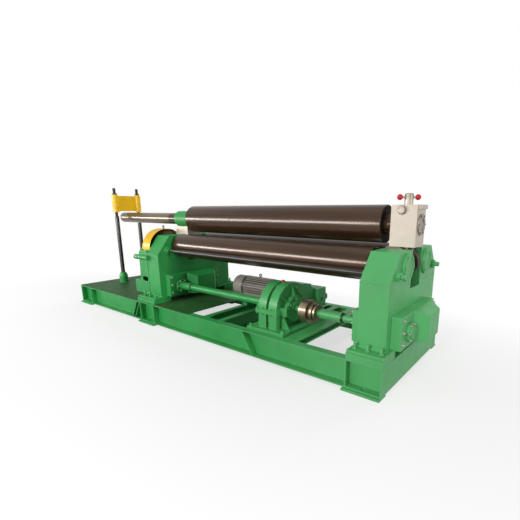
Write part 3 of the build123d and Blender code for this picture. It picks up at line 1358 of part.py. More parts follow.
# Round bearing caps on both sides of the lift reducer: a low ring at the right and a long hub at the left
with BuildPart() as lift_reducer_caps:
    for cap_x, side, neck_r, neck in (
        (REDUCER_LEFT - BOSS_STAND, -1, LEFT_HUB_R, LEFT_HUB),
        (REDUCER_RIGHT + BOSS_STAND, 1, CAP_RING_R, CAP_RING),
    ):
        with BuildSketch(x_plane(cap_x)):
            with Locations((SHAFT_Y, SHAFT_Z)):
                Circle(CAP_R)
        extrude(amount=side * CAP_PLATE)
        with BuildSketch(x_plane(cap_x + side * CAP_PLATE)):
            with Locations((SHAFT_Y, SHAFT_Z)):
                Circle(neck_r)
        extrude(amount=side * neck)
        with BuildSketch(x_plane(cap_x)):
            with Locations((SHAFT_Y, SHAFT_Z)):
                Circle(SHAFT_R + RUNNING_FIT)
        extrude(amount=side * (CAP_PLATE + neck), mode=Mode.SUBTRACT)
lift_reducer_caps.part.label = "lift_reducer_caps"
export_step(lift_reducer_caps.part, "parts/lift_reducer_caps.step")


# Electric motors: ribbed frames on feet, with end shields a little wider than the barrel
SHIELD_SHARE = 1.04
FIN_SHARE = 0.1
FIN_TIP = 1 + FIN_SHARE


def motor_frame(left, right, y, z, radius, feet_height):
    """Ribbed barrel with end shields and two foot rails, bored for the shaft."""
    fins = 28
    fin_height = radius * FIN_SHARE
    shield = radius * 0.35
    with BuildPart() as frame:
        with BuildSketch(x_plane(left + shield)):
            with Locations((y, z)):
                Circle(radius)
                with PolarLocations(radius + fin_height / 2 - 1, fins):
                    Rectangle(fin_height + 2, radius * 0.07)
        extrude(amount=right - left - 2 * shield)
        for shield_x in (left, right - shield):
            with BuildSketch(x_plane(shield_x)):
                with Locations((y, z)):
                    Circle(radius * SHIELD_SHARE)
            extrude(amount=shield)
        with BuildSketch(x_plane(left + shield * 1.5)):
            for foot_y in front_and_rear(radius * 0.85):
                with Locations((y + foot_y, z - feet_height + feet_height * 0.3)):
                    Rectangle(radius * 0.5, feet_height * 0.6)
        extrude(amount=right - left - 3 * shield)
        with BuildSketch(x_plane(left)):
            with Locations((y, z)):
                Circle(radius * 0.3)
        extrude(amount=right - left, mode=Mode.SUBTRACT)
    return frame


COWL_LENGTH = 130
COUPLING_GAP = 12
lift_motor = motor_frame(
    MOTOR_LEFT + COWL_LENGTH + COUPLING_GAP, MOTOR_RIGHT, INPUT_Y, SHAFT_Z, MOTOR_R, MOTOR_FEET
)
lift_motor.part.label = "lift_motor"
export_step(lift_motor.part, "parts/lift_motor.step")

# Motor shafts, each with its fan, rotor shaft and a flanged coupling to a reducer's input
FAN_TAIL = 40
FAN_START = 60
FAN_END = 85
COUPLING_FLANGE = 32
LIFT_HUB_R = 40
LIFT_FLANGE_R = 85
MAIN_HUB_R = 55
MAIN_FLANGE_R = 95


def motor_shaft(left, right, box_x, end_x, y, z, shaft_r, fan_r, hub_r, flange_r):
    """Shaft of a motor from left to right, coupled before box_x, with its end in the reducer at end_x."""
    middle = (right + box_x) / 2
    outline = (
        (left + FAN_TAIL, shaft_r),
        (left + FAN_START, shaft_r),
        (left + FAN_START, fan_r),
        (left + FAN_END, fan_r),
        (left + FAN_END, shaft_r),
        (right + COUPLING_GAP, shaft_r),
        (right + COUPLING_GAP, hub_r),
        (middle - COUPLING_FLANGE, hub_r),
        (middle - COUPLING_FLANGE, flange_r),
        (middle + COUPLING_FLANGE, flange_r),
        (middle + COUPLING_FLANGE, hub_r),
        (box_x - COUPLING_GAP, hub_r),
        (box_x - COUPLING_GAP, shaft_r),
        (end_x, shaft_r),
    )
    return turned_on_x(outline, y, z)


lift_motor_shaft = motor_shaft(
    MOTOR_LEFT,
    MOTOR_RIGHT,
    REDUCER_LEFT - INPUT_BOX_REACH,
    REDUCER_LEFT + REDUCER_WIDTH * 0.6,
    INPUT_Y,
    SHAFT_Z,
    MOTOR_SHAFT_R,
    MOTOR_R * 0.8,
    LIFT_HUB_R,
    LIFT_FLANGE_R,
)
lift_motor_shaft.part.label = "lift_motor_shaft"
export_step(lift_motor_shaft.part, "parts/lift_motor_shaft.step")

# Lift motor stool: a welded bridge on the two cross members
STOOL_PLATE = 16
with BuildPart() as lift_motor_stool:
    stool_top = SHAFT_Z - MOTOR_FEET
    with BuildSketch(z_plane(stool_top - STOOL_PLATE)):
        with Locations(((MOTOR_LEFT + COWL_LENGTH + MOTOR_RIGHT) / 2, INPUT_Y)):
            Rectangle(MOTOR_LENGTH - COWL_LENGTH, 2.9 * MOTOR_R)
    extrude(amount=STOOL_PLATE)
    with BuildSketch(z_plane(BEAM_TOP)):
        with Locations(*[(x, INPUT_Y) for x in MOTOR_CROSSES]):
            Rectangle(CROSS_FLANGE, 2.7 * MOTOR_R)
    extrude(amount=stool_top - STOOL_PLATE - BEAM_TOP)
lift_motor_stool.part.label = "lift_motor_stool"
export_step(lift_motor_stool.part, "parts/lift_motor_stool.step")

# Main drive: reducer and motor on welded stools behind the left stand
MAIN_FOOT_Z = PINION_Z - MAIN_HEIGHT
MAIN_REDUCER_LEFT = MAIN_REDUCER_RIGHT - MAIN_REDUCER_WIDTH
MAIN_SHAFT_R = 28
MAIN_CAP_R = 110
MAIN_SHAFTS = ((0, PINION_SHAFT_R), (MAIN_CENTRES, MAIN_SHAFT_R))
MAIN_GEARS = (MAIN_CENTRES, MAIN_BIG_R, MAIN_SMALL_R, MAIN_CAP_R, MAIN_SHAFTS)
main_reducer_base = reducer_base(
    MAIN_REDUCER_LEFT, MAIN_REDUCER_WIDTH, 0, PINION_Z, MAIN_FOOT_Z, MAIN_FOOT_SIDE, *MAIN_GEARS
)
main_reducer_base.part.label = "main_reducer_base"
export_step(main_reducer_base.part, "parts/main_reducer_base.step")

main_reducer_cover = reducer_cover(MAIN_REDUCER_LEFT, MAIN_REDUCER_WIDTH, 0, PINION_Z, *MAIN_GEARS)
main_reducer_cover.part.label = "main_reducer_cover"
export_step(main_reducer_cover.part, "parts/main_reducer_cover.step")

MAIN_MOTOR_RIGHT = MAIN_REDUCER_LEFT - MAIN_MOTOR_GAP
MAIN_MOTOR_LEFT = MAIN_MOTOR_RIGHT - MAIN_MOTOR_LENGTH
main_motor = motor_frame(
    MAIN_MOTOR_LEFT + COWL_LENGTH + COUPLING_GAP,
    MAIN_MOTOR_RIGHT,
    MAIN_CENTRES,
    PINION_Z,
    MAIN_MOTOR_R,
    MAIN_MOTOR_FEET,
)
main_motor.part.label = "main_motor"
export_step(main_motor.part, "parts/main_motor.step")

main_motor_shaft = motor_shaft(
    MAIN_MOTOR_LEFT,
    MAIN_MOTOR_RIGHT,
    MAIN_REDUCER_LEFT - INPUT_BOX_REACH,
    MAIN_REDUCER_LEFT + MAIN_REDUCER_WIDTH * 0.6,
    MAIN_CENTRES,
    PINION_Z,
    MAIN_SHAFT_R,
    MAIN_MOTOR_R * 0.8,
    MAIN_HUB_R,
    MAIN_FLANGE_R,
)
main_motor_shaft.part.label = "main_motor_shaft"
export_step(main_motor_shaft.part, "parts/main_motor_shaft.step")


# Main drive stools: four-legged welded tables on the deck, one under the reducer and one under the motor
STOOL_LEG = 70
STOOL_MARGIN = 5
MOTOR_STOOL_MARGIN = 20
REDUCER_STOOL = (
    MAIN_REDUCER_LEFT - MAIN_FOOT_SIDE - STOOL_MARGIN,
    MAIN_REDUCER_RIGHT + MAIN_FOOT_SIDE + STOOL_MARGIN,
    -MAIN_BIG_R - REDUCER_FOOT_END - STOOL_MARGIN,
    MAIN_CENTRES + MAIN_SMALL_R + REDUCER_FOOT_END + STOOL_MARGIN,
    MAIN_FOOT_Z,
)
MOTOR_STOOL = (
    MAIN_MOTOR_LEFT + COWL_LENGTH - MOTOR_STOOL_MARGIN,
    MAIN_MOTOR_RIGHT + MOTOR_STOOL_MARGIN,
    MAIN_CENTRES - 1.15 * MAIN_MOTOR_R,
    MAIN_CENTRES + 1.3 * MAIN_MOTOR_R,
    PINION_Z - MAIN_MOTOR_FEET,
)
with BuildPart() as main_drive_stools:
    for left, right, front, rear, top in (REDUCER_STOOL, MOTOR_STOOL):
        with BuildSketch(z_plane(top - STOOL_PLATE)):
            with Locations(((left + right) / 2, (front + rear) / 2)):
                Rectangle(right - left, rear - front)
        extrude(amount=STOOL_PLATE)
        leg_rows = (left + STOOL_LEG, right - STOOL_LEG)
        legs = [(x, y) for x in leg_rows for y in (front + STOOL_LEG, rear - STOOL_LEG)]
        with BuildSketch(z_plane(DECK_TOP)):
            with Locations(*legs):
                Rectangle(STOOL_LEG, STOOL_LEG)
        extrude(amount=top - STOOL_PLATE - DECK_TOP)
main_drive_stools.part.label = "main_drive_stools"
export_step(main_drive_stools.part, "parts/main_drive_stools.step")

# Motor cowls: thin shells over the fans, closed at the left by a face with ring slots
COWL_WALL = 4
COWL_FIT = 0.3
COWL_OVERLAP = 20
MOTOR_COWLS = (
    (MOTOR_LEFT, INPUT_Y, SHAFT_Z, MOTOR_R * SHIELD_SHARE + COWL_FIT + COWL_WALL),
    (MAIN_MOTOR_LEFT, MAIN_CENTRES, PINION_Z, MAIN_MOTOR_R * SHIELD_SHARE + COWL_FIT + COWL_WALL),
)
GRILLE_ARC = 80
GRILLE_SHARE = 0.09
with BuildPart() as motor_cowls:
    for left, y, z, radius in MOTOR_COWLS:
        crown = radius * 0.18
        right = left + COWL_LENGTH + COUPLING_GAP + COWL_OVERLAP
        with BuildSketch(Plane(origin=(0, y, z), x_dir=(1, 0, 0), z_dir=(0, -1, 0))):
            with BuildLine():
                Polyline(
                    (left, 0),
                    (left, radius - crown),
                    (left + crown * 0.3, radius - crown * 0.3),
                    (left + crown, radius),
                    (right, radius),
                    (right, radius - COWL_WALL),
                    (left + crown, radius - COWL_WALL),
                    (left + crown * 0.3 + COWL_WALL, radius - crown * 0.3 - COWL_WALL),
                    (left + COWL_WALL, radius - crown - COWL_WALL),
                    (left + COWL_WALL, 0),
                    close=True,
                )
            make_face()
        revolve(axis=Axis((0, y, z), (1, 0, 0)))
        with BuildSketch(x_plane(left)):
            with Locations((y, z)):
                for ring in (0.3, 0.5):
                    with PolarLocations(0, 3):
                        SlotArc(CenterArc((0, 0), radius * ring, 0, GRILLE_ARC), radius * GRILLE_SHARE)
        extrude(amount=COWL_WALL, mode=Mode.SUBTRACT)
motor_cowls.part.label = "motor_cowls"
export_step(motor_cowls.part, "parts/motor_cowls.step")

# Terminal boxes on the far sides of the motors
BOX_SIZE = 110
BOX_RISE = 30
BOX_CORNER = 8
TERMINAL_BOXES = (
    (MOTOR_RIGHT - MOTOR_LENGTH * 0.3, INPUT_Y, SHAFT_Z, MOTOR_R),
    (MAIN_MOTOR_RIGHT - MAIN_MOTOR_LENGTH * 0.35, MAIN_CENTRES, PINION_Z, MAIN_MOTOR_R),
)
with BuildPart() as terminal_boxes:
    for x, y, z, radius in TERMINAL_BOXES:
        reach = y + radius * FIN_TIP
        with BuildSketch(x_plane(x - BOX_SIZE / 2)):
            with Locations((reach + BOX_SIZE / 4, z + BOX_RISE)):
                RectangleRounded(BOX_SIZE / 2, BOX_SIZE, BOX_CORNER)
        extrude(amount=BOX_SIZE)
terminal_boxes.part.label = "terminal_boxes"
export_step(terminal_boxes.part, "parts/terminal_boxes.step")

# Lifting eyes on the gear guard's hoods and on both motors
EYE_R = 16
EYE_WIRE_R = 5
EYE_PLACES = (
    (CASE_LEFT + CASE_DEPTH * 0.6, -LOWER_ROLL_Y - GUARD_CREST / 2, GUARD_TOP),
    (CASE_LEFT + CASE_DEPTH * 0.6, LOWER_ROLL_Y + GUARD_CREST / 2, GUARD_TOP),
    ((MOTOR_LEFT + COWL_LENGTH + MOTOR_RIGHT) / 2, INPUT_Y, SHAFT_Z + MOTOR_R * FIN_TIP),
    ((MAIN_MOTOR_LEFT + COWL_LENGTH + MAIN_MOTOR_RIGHT) / 2, MAIN_CENTRES, PINION_Z + MAIN_MOTOR_R * FIN_TIP),
)
with BuildPart() as lifting_eyes:
    for x, y, z in EYE_PLACES:
        with BuildSketch(z_plane(z)):
            with Locations((x, y)):
                Circle(EYE_WIRE_R + 4)
        extrude(amount=EYE_WIRE_R + 4)
        with BuildSketch(y_plane(y)):
            with Locations((x, z + EYE_R + 2 * EYE_WIRE_R)):
                Circle(EYE_R + EYE_WIRE_R)
                Circle(EYE_R - EYE_WIRE_R, mode=Mode.SUBTRACT)
        extrude(amount=EYE_WIRE_R, both=True)
lifting_eyes.part.label = "lifting_eyes"
export_step(lifting_eyes.part, "parts/lifting_eyes.step")

# Tipping bearing housing: machined block on the carriage, with a tongue down to the pin and a lip at its top
LOCK_OFFSET = 17
LOCK_X = RIGHT_STAND_X + LOCK_OFFSET
LOCK_SCREW_R = 18
LOCK_DEPTH = 50
LIP_DEPTH = 25
LIP_HEIGHT = 36
BUSH_END = 8
BUSH_RIGHT = TAPER_END + BUSH_END
LATCH_OFFSET = 6
LATCH_DROP = 42
LATCH_X = RIGHT_STAND_X + LATCH_OFFSET
LATCH_Z = HOUSING_TOP - LATCH_DROP
LATCH_R = 20
LATCH_LENGTH = 55
with BuildPart() as bearing_housing:
    with BuildSketch(y_plane(0)):
        with Locations(((HOUSING_X + HOUSING_OUTER) / 2, (CARRIAGE_TOP + HOUSING_TOP) / 2)):
            Rectangle(HOUSING_THICKNESS, HOUSING_TOP - CARRIAGE_TOP)
    extrude(amount=HOUSING_HALF, both=True)
    with BuildSketch(y_plane(0)):
        with Locations((HOUSING_OUTER + LIP_DEPTH / 2, HOUSING_TOP - LIP_HEIGHT / 2)):
            Rectangle(LIP_DEPTH, LIP_HEIGHT)
    extrude(amount=HOUSING_HALF * 0.7, both=True)
    with BuildSketch(y_plane(0)):
        with Locations((TIP_X, (TIP_Z + CARRIAGE_TOP) / 2)):
            Rectangle(TONGUE_LENGTH, CARRIAGE_TOP - TIP_Z)
        with Locations((TIP_X, TIP_Z)):
            Circle(TONGUE_LENGTH / 2)
    extrude(amount=TONGUE_HALF, both=True)
    with BuildSketch(y_plane(0)):
        with Locations((TIP_X, TIP_Z)):
            Circle(TIP_PIN_R + RUNNING_FIT)
    extrude(amount=TONGUE_HALF, both=True, mode=Mode.SUBTRACT)
    with BuildSketch(x_plane(HOUSING_X)):
        with Locations((0, UPPER_ROLL_Z)):
            Circle(HOUSING_BORE_R)
    extrude(amount=BUSH_RIGHT - HOUSING_X, mode=Mode.SUBTRACT)
    with BuildSketch(x_plane(HOUSING_X)):
        with Locations((0, UPPER_ROLL_Z)):
            Circle(END_BORE_R)
    extrude(amount=HOUSING_THICKNESS, mode=Mode.SUBTRACT)
    with BuildSketch(z_plane(HOUSING_TOP)):
        with Locations((LOCK_X, 0)):
            Circle(LOCK_SCREW_R + RUNNING_FIT)
    extrude(amount=-LOCK_DEPTH, mode=Mode.SUBTRACT)
    with BuildSketch(y_plane(-HOUSING_HALF)):
        with Locations((LATCH_X, LATCH_Z)):
            Circle(LATCH_R)
    extrude(amount=-LATCH_LENGTH, mode=Mode.SUBTRACT)
bearing_housing.part.label = "bearing_housing"
export_step(bearing_housing.part, "parts/bearing_housing.step")

# Tapered bush in the housing, round the roll's tapered end
with BuildPart() as taper_bush:
    with BuildSketch(Plane(origin=(0, 0, UPPER_ROLL_Z), x_dir=(1, 0, 0), z_dir=(0, -1, 0))):
        with BuildLine():
            Polyline(
                (HOUSING_X, HOUSING_BORE_R - RUNNING_FIT),
                (HOUSING_X, TAPER_ROOT_R + RUNNING_FIT),
                (TAPER_END, TAPER_TIP_R + RUNNING_FIT),
                (BUSH_RIGHT, TAPER_TIP_R + RUNNING_FIT),
                (BUSH_RIGHT, HOUSING_BORE_R - RUNNING_FIT),
                close=True,
            )
        make_face()
    revolve(axis=Axis((0, 0, UPPER_ROLL_Z), (1, 0, 0)))
taper_bush.part.label = "taper_bush"
export_step(taper_bush.part, "parts/taper_bush.step")

# Round end cover with its spigot in the housing's outer bore
SPIGOT = 20
END_COVER_PLATE = 12
END_COVER_RECESS = 6
with BuildPart() as housing_end_cover:
    with BuildSketch(x_plane(HOUSING_OUTER)):
        with Locations((0, UPPER_ROLL_Z)):
            Circle(END_BORE_R + END_COVER_LIP)
    extrude(amount=END_COVER_PLATE)
    with BuildSketch(x_plane(HOUSING_OUTER)):
        with Locations((0, UPPER_ROLL_Z)):
            Circle(END_BORE_R - RUNNING_FIT)
    extrude(amount=-SPIGOT)
    with BuildSketch(x_plane(HOUSING_OUTER + END_COVER_PLATE)):
        with Locations((0, UPPER_ROLL_Z)):
            Circle(END_BORE_R * 0.75)
    extrude(amount=-END_COVER_RECESS, mode=Mode.SUBTRACT)
housing_end_cover.part.label = "housing_end_cover"
export_step(housing_end_cover.part, "parts/housing_end_cover.step")

# Latch pin with a round head on the housing's front face
LATCH_HEAD_R = 36
LATCH_HEAD = 30
LATCH_CHAMFER = 5
with BuildPart() as latch_pin:
    with BuildSketch(y_plane(-HOUSING_HALF)):
        with Locations((LATCH_X, LATCH_Z)):
            Circle(LATCH_HEAD_R)
    extrude(amount=LATCH_HEAD)
    chamfer(latch_pin.faces().sort_by(Axis.Y)[0].edges(), LATCH_CHAMFER)
    with BuildSketch(y_plane(-HOUSING_HALF)):
        with Locations((LATCH_X, LATCH_Z)):
            Circle(LATCH_R - RUNNING_FIT)
    extrude(amount=1 - LATCH_LENGTH)
latch_pin.part.label = "latch_pin"
export_step(latch_pin.part, "parts/latch_pin.step")

# Lock screw with a tall boss, its cross bar and two ball knobs
LOCK_BAR_Z = HOUSING_TOP + LOCK_BOSS_HEIGHT * 0.66
LOCK_DIRECTION = (cos(radians(LOCK_BAR_ANGLE)), sin(radians(LOCK_BAR_ANGLE)), 0)
LOCK_PLANE = Plane(origin=(LOCK_X, 0, LOCK_BAR_Z), x_dir=(0, 0, 1), z_dir=LOCK_DIRECTION)
with BuildPart() as lock_screw:
    with BuildSketch(z_plane(HOUSING_TOP)):
        with Locations((LOCK_X, 0)):
            Circle(LOCK_BOSS_R)
    extrude(amount=LOCK_BOSS_HEIGHT)
    chamfer(lock_screw.faces().sort_by(Axis.Z)[-1].edges(), 8)
    with BuildSketch(z_plane(HOUSING_TOP)):
        with Locations((LOCK_X, 0)):
            Circle(LOCK_SCREW_R)
    extrude(amount=2 - LOCK_DEPTH)
    with BuildSketch(LOCK_PLANE):
        Circle(LOCK_BAR_R + RUNNING_FIT)
    extrude(amount=LOCK_BOSS_R + 5, both=True, mode=Mode.SUBTRACT)
    with BuildSketch(LOCK_PLANE):
        Circle(LOCK_BAR_R)
    extrude(amount=LOCK_BAR_LENGTH / 2, both=True)
lock_screw.part.label = "lock_screw"
export_step(lock_screw.part, "parts/lock_screw.step")

KNOB_HOLE = 18
with BuildPart() as lock_knobs:
    for side in (-1, 1):
        reach = side * (LOCK_BAR_LENGTH / 2 - KNOB_HOLE + KNOB_R)
        centre = (LOCK_X + reach * LOCK_DIRECTION[0], reach * LOCK_DIRECTION[1], LOCK_BAR_Z)
        with Locations(centre):
            Sphere(KNOB_R)
    with BuildSketch(LOCK_PLANE):
        Circle(LOCK_BAR_R + RUNNING_FIT)
    extrude(amount=LOCK_BAR_LENGTH / 2 + RUNNING_FIT, both=True, mode=Mode.SUBTRACT)
lock_knobs.part.label = "lock_knobs"
export_step(lock_knobs.part, "parts/lock_knobs.step")

# Tail balance: bulbous sockets on the deck, tall posts with threaded tops, a crosshead and its nuts
POST_PLACES = ((POST_X, -POST_Y), (POST_X, POST_Y))
SOCKET_TOP = DECK_TOP + SOCKET_HEIGHT
SOCKET_BORE = 60
SOCKET_LIP = 10
POST_TAPER = 10
POST_CHAMFER = 6
with BuildPart() as post_sockets:
    for x, y in POST_PLACES:
        with BuildSketch(Plane(origin=(x, y, 0), x_dir=(1, 0, 0), z_dir=(0, -1, 0))):
            with BuildLine():
                Polyline(
                    (POST_R + SOCKET_LIP, SOCKET_TOP),
                    (0, SOCKET_TOP),
                    (0, DECK_TOP),
                    (SOCKET_R, DECK_TOP),
                )
                Line((SOCKET_R, DECK_TOP), (SOCKET_R, DECK_TOP + SOCKET_HEIGHT * 0.45))
                ThreePointArc(
                    (SOCKET_R, DECK_TOP + SOCKET_HEIGHT * 0.45),
                    (SOCKET_R * 0.92, DECK_TOP + SOCKET_HEIGHT * 0.75),
                    (POST_R + SOCKET_LIP, SOCKET_TOP),
                )
            make_face()
        revolve(axis=Axis((x, y, 0), (0, 0, 1)))
    with BuildSketch(z_plane(SOCKET_TOP)):
        with Locations(*POST_PLACES):
            Circle(POST_R + RUNNING_FIT)
    extrude(amount=-SOCKET_BORE, mode=Mode.SUBTRACT)
post_sockets.part.label = "post_sockets"
export_step(post_sockets.part, "parts/post_sockets.step")

balance_posts = turned_on_z(
    (
        (POST_R, SOCKET_TOP - SOCKET_BORE),
        (POST_R, POST_THREAD_Z - POST_TAPER),
        (POST_THREAD_R, POST_THREAD_Z),
        (POST_THREAD_R, POST_TOP - POST_CHAMFER),
        (POST_THREAD_R - POST_CHAMFER, POST_TOP),
    ),
    POST_PLACES,
)
balance_posts.part.label = "balance_posts"
export_step(balance_posts.part, "parts/balance_posts.step")

CROSSHEAD_INSET = 14
with BuildPart() as crosshead:
    with BuildSketch(z_plane(CROSSHEAD_Z)):
        with Locations(*POST_PLACES):
            Circle(CROSSHEAD_BOSS_R)
    extrude(amount=CROSSHEAD_HEIGHT)
    with BuildSketch(z_plane(CROSSHEAD_Z + CROSSHEAD_INSET)):
        with Locations((POST_X, 0)):
            Rectangle(CROSSHEAD_PLATE, 2 * POST_Y)
    extrude(amount=CROSSHEAD_HEIGHT - 2 * CROSSHEAD_INSET)
    with BuildSketch(z_plane(CROSSHEAD_Z)):
        with Locations(*POST_PLACES):
            Circle(POST_THREAD_R + SLIDE_FIT)
    extrude(amount=CROSSHEAD_HEIGHT, mode=Mode.SUBTRACT)
crosshead.part.label = "crosshead"
export_step(crosshead.part, "parts/crosshead.step")

CROSSHEAD_NUT = 30
CROSSHEAD_NUT_HEIGHT = 24
with BuildPart() as crosshead_nuts:
    with BuildSketch(z_plane(CROSSHEAD_TOP)):
        with Locations(*POST_PLACES):
            RegularPolygon(CROSSHEAD_NUT, 6, major_radius=False)
            Circle(POST_THREAD_R + SLIDE_FIT, mode=Mode.SUBTRACT)
    extrude(amount=CROSSHEAD_NUT_HEIGHT)
crosshead_nuts.part.label = "crosshead_nuts"
export_step(crosshead_nuts.part, "parts/crosshead_nuts.step")
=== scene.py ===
import json
import math

import bpy
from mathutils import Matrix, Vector


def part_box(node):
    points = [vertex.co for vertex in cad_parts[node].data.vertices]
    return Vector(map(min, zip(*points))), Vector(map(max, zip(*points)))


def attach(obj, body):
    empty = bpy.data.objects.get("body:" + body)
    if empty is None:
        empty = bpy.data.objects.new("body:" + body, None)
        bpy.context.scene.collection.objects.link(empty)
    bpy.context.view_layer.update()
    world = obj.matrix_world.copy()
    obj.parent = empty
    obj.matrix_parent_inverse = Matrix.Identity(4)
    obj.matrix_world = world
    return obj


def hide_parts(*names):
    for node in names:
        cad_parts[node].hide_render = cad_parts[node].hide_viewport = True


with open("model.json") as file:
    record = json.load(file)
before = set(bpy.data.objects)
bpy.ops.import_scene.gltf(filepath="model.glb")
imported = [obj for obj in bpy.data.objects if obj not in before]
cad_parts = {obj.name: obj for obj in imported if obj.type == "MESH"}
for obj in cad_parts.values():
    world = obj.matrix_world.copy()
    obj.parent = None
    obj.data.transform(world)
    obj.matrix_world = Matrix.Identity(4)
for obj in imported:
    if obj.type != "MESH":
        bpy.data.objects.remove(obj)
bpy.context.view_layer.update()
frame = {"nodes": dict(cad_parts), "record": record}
nodes = frame["nodes"]


# Base beams: two long rolled-steel channels with upright and leaning stiffeners welded in, brushed with
# green alkyd enamel. The enamel is glossy, a little uneven and dusty, and pale on its edges, where it is
# thin and a highlight is painted; towards the right end it is painted paler as a sheen.
def linear(hex_colour):
    """Linear RGBA for a shader from an sRGB hex value."""
    channels = [int(hex_colour[i:i + 2], 16) / 255 for i in (0, 2, 4)]
    return [c / 12.92 if c <= 0.04045 else ((c + 0.055) / 1.055) ** 2.4 for c in channels] + [1.0]


def add(tree, kind, settings=None, links=None):
    """One shader node: settings fill sockets or properties, links feed sockets, by name or number."""
    made = tree.nodes.new(kind)
    for key, value in (settings or {}).items():
        if isinstance(key, int) or key in made.inputs:
            made.inputs[key].default_value = value
        else:
            setattr(made, key, value)
    for key, source in (links or {}).items():
        tree.links.new(source, made.inputs[key])
    return made


SHEEN_START_X = 0.7
SHEEN_END_X = 2.2
EDGE_WEAR_AND_HIGHLIGHT_WIDTH = 0.007


def enamel(name, colour, worn_and_lit, dust, dust_share, gloss, shine=0.2, painted_sheen=0.0):
    """Brushed alkyd enamel: tone drift, pale worn edges with painted highlight, dust, ripple, painted sheen
    at right.
    """
    material = bpy.data.materials.new(name)
    material.use_nodes = True
    tree = material.node_tree
    shader = tree.nodes["Principled BSDF"]
    place = add(tree, "ShaderNodeTexCoord").outputs["Object"]
    # Tone drifts over about 350 mm, dust gathers in patches of about 120 mm, brush ripple is 12 mm
    drift = add(tree, "ShaderNodeTexNoise", {"Scale": 2.9, "Detail": 4.0, "Roughness": 0.6},
                {"Vector": place})
    patch = add(tree, "ShaderNodeTexNoise", {"Scale": 8.3, "Detail": 6.0, "Roughness": 0.7},
                {"Vector": place})
    ripple = add(tree, "ShaderNodeTexNoise", {"Scale": 83.0, "Detail": 2.0}, {"Vector": place})
    tone = add(tree, "ShaderNodeMapRange", {1: 0.3, 2: 0.7, 3: 0.84, 4: 1.1}, {0: drift.outputs["Fac"]})
    varied = add(tree, "ShaderNodeMix",
                 {"data_type": "RGBA", "blend_type": "MULTIPLY", 0: 1.0, 6: linear(colour)},
                 {7: tone.outputs[0]})
    # Painted sheen: the paint is made paler over the last metre and a half of the machine, towards the right
    along = add(tree, "ShaderNodeSeparateXYZ", {}, {0: place})
    sheen_share = add(tree, "ShaderNodeMapRange", {1: SHEEN_START_X, 2: SHEEN_END_X, 3: 0.0, 4: painted_sheen},
                 {0: along.outputs[0]})
    sheened = add(tree, "ShaderNodeMix", {"data_type": "RGBA", 7: linear(worn_and_lit)},
                {0: sheen_share.outputs[0], 6: varied.outputs[2]})
    film = add(tree, "ShaderNodeMapRange", {1: 0.5, 2: 0.8, 3: 0.0, 4: dust_share},
               {0: patch.outputs["Fac"]})
    dusty = add(tree, "ShaderNodeMix", {"data_type": "RGBA", 7: linear(dust)},
                {0: film.outputs[0], 6: sheened.outputs[2]})
    # Edges are paler: the thinner, worn coat there, with a painted highlight along them
    round_normal = add(tree, "ShaderNodeBevel", {"samples": 4, "Radius": EDGE_WEAR_AND_HIGHLIGHT_WIDTH})
    flat_normal = add(tree, "ShaderNodeNewGeometry")
    agree = add(tree, "ShaderNodeVectorMath", {"operation": "DOT_PRODUCT"},
                {0: round_normal.outputs[0], 1: flat_normal.outputs["Normal"]})
    edge = add(tree, "ShaderNodeMapRange", {1: 0.97, 2: 0.80, 3: 0.0, 4: 0.5}, {0: agree.outputs["Value"]})
    edge_worn_and_lit = add(tree, "ShaderNodeMix", {"data_type": "RGBA", 7: linear(worn_and_lit)},
                {0: edge.outputs[0], 6: dusty.outputs[2]})
    rough = add(tree, "ShaderNodeMapRange", {1: 0.35, 2: 0.75, 3: gloss, 4: gloss + 0.22},
                {0: patch.outputs["Fac"]})
    bump = add(tree, "ShaderNodeBump", {"Strength": 0.12, "Distance": 0.002},
               {"Height": ripple.outputs["Fac"]})
    tree.links.new(edge_worn_and_lit.outputs[2], shader.inputs["Base Color"])
    tree.links.new(rough.outputs[0], shader.inputs["Roughness"])
    tree.links.new(bump.outputs[0], shader.inputs["Normal"])
    shader.inputs["IOR"].default_value = 1.52
    shader.inputs["Specular IOR Level"].default_value = shine
    return material


# The green enamel carries a painted sheen towards the right end and painted highlights along its edges
green_enamel = enamel("green_enamel_on_steel", "2f9a4b", "7cc88a", "7d9078",
                      dust_share=0.16, gloss=0.34, painted_sheen=0.38)
bodies = frame["record"]["behaviour"]["bodies"]
body_of_node = {node: body for body, members in bodies.items() for node in members}
SMOOTH_ANGLE = math.radians(34)


def dress(piece, material, body):
    """Smooths a finished piece, gives it its material and sets it on the body it moves with."""
    bpy.ops.object.select_all(action="DESELECT")
    piece.select_set(True)
    bpy.context.view_layer.objects.active = piece
    bpy.ops.object.shade_smooth_by_angle(angle=SMOOTH_ANGLE)
    level = piece.modifiers.new("level_faces", "WEIGHTED_NORMAL")
    level.keep_sharp = True
    bpy.ops.object.modifier_apply(modifier="level_faces")
    piece.data.materials.clear()
    piece.data.materials.append(material)
    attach(piece, body)
    return piece


MERGE_DISTANCE = 0.00002
FLAT_ANGLE = math.radians(0.6)
SHARP_ANGLE = math.radians(32)


def rounded(node, radius_mm, material):
    """A copy of a CAD solid, its facets merged and sharp edges rounded, in place of the plain node."""
    bpy.ops.object.select_all(action="DESELECT")
    piece = bpy.data.objects.new(node + "_finished", nodes[node].data.copy())
    bpy.context.scene.collection.objects.link(piece)
    bpy.context.view_layer.objects.active = piece
    piece.select_set(True)
    bpy.ops.object.mode_set(mode="EDIT")
    bpy.ops.mesh.select_all(action="SELECT")
    bpy.ops.mesh.remove_doubles(threshold=MERGE_DISTANCE)
    bpy.ops.mesh.dissolve_limited(angle_limit=FLAT_ANGLE)
    bpy.ops.mesh.vert_connect_concave()
    bpy.ops.object.mode_set(mode="OBJECT")
    if radius_mm:
        bevel = piece.modifiers.new("edge", "BEVEL")
        bevel.width = radius_mm / 1000
        bevel.segments = 2
        bevel.limit_method = "ANGLE"
        bevel.angle_limit = SHARP_ANGLE
        bevel.miter_outer = "MITER_ARC"
        bpy.ops.object.modifier_apply(modifier="edge")
    dress(piece, material, body_of_node[node])
    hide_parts(node)
    return piece


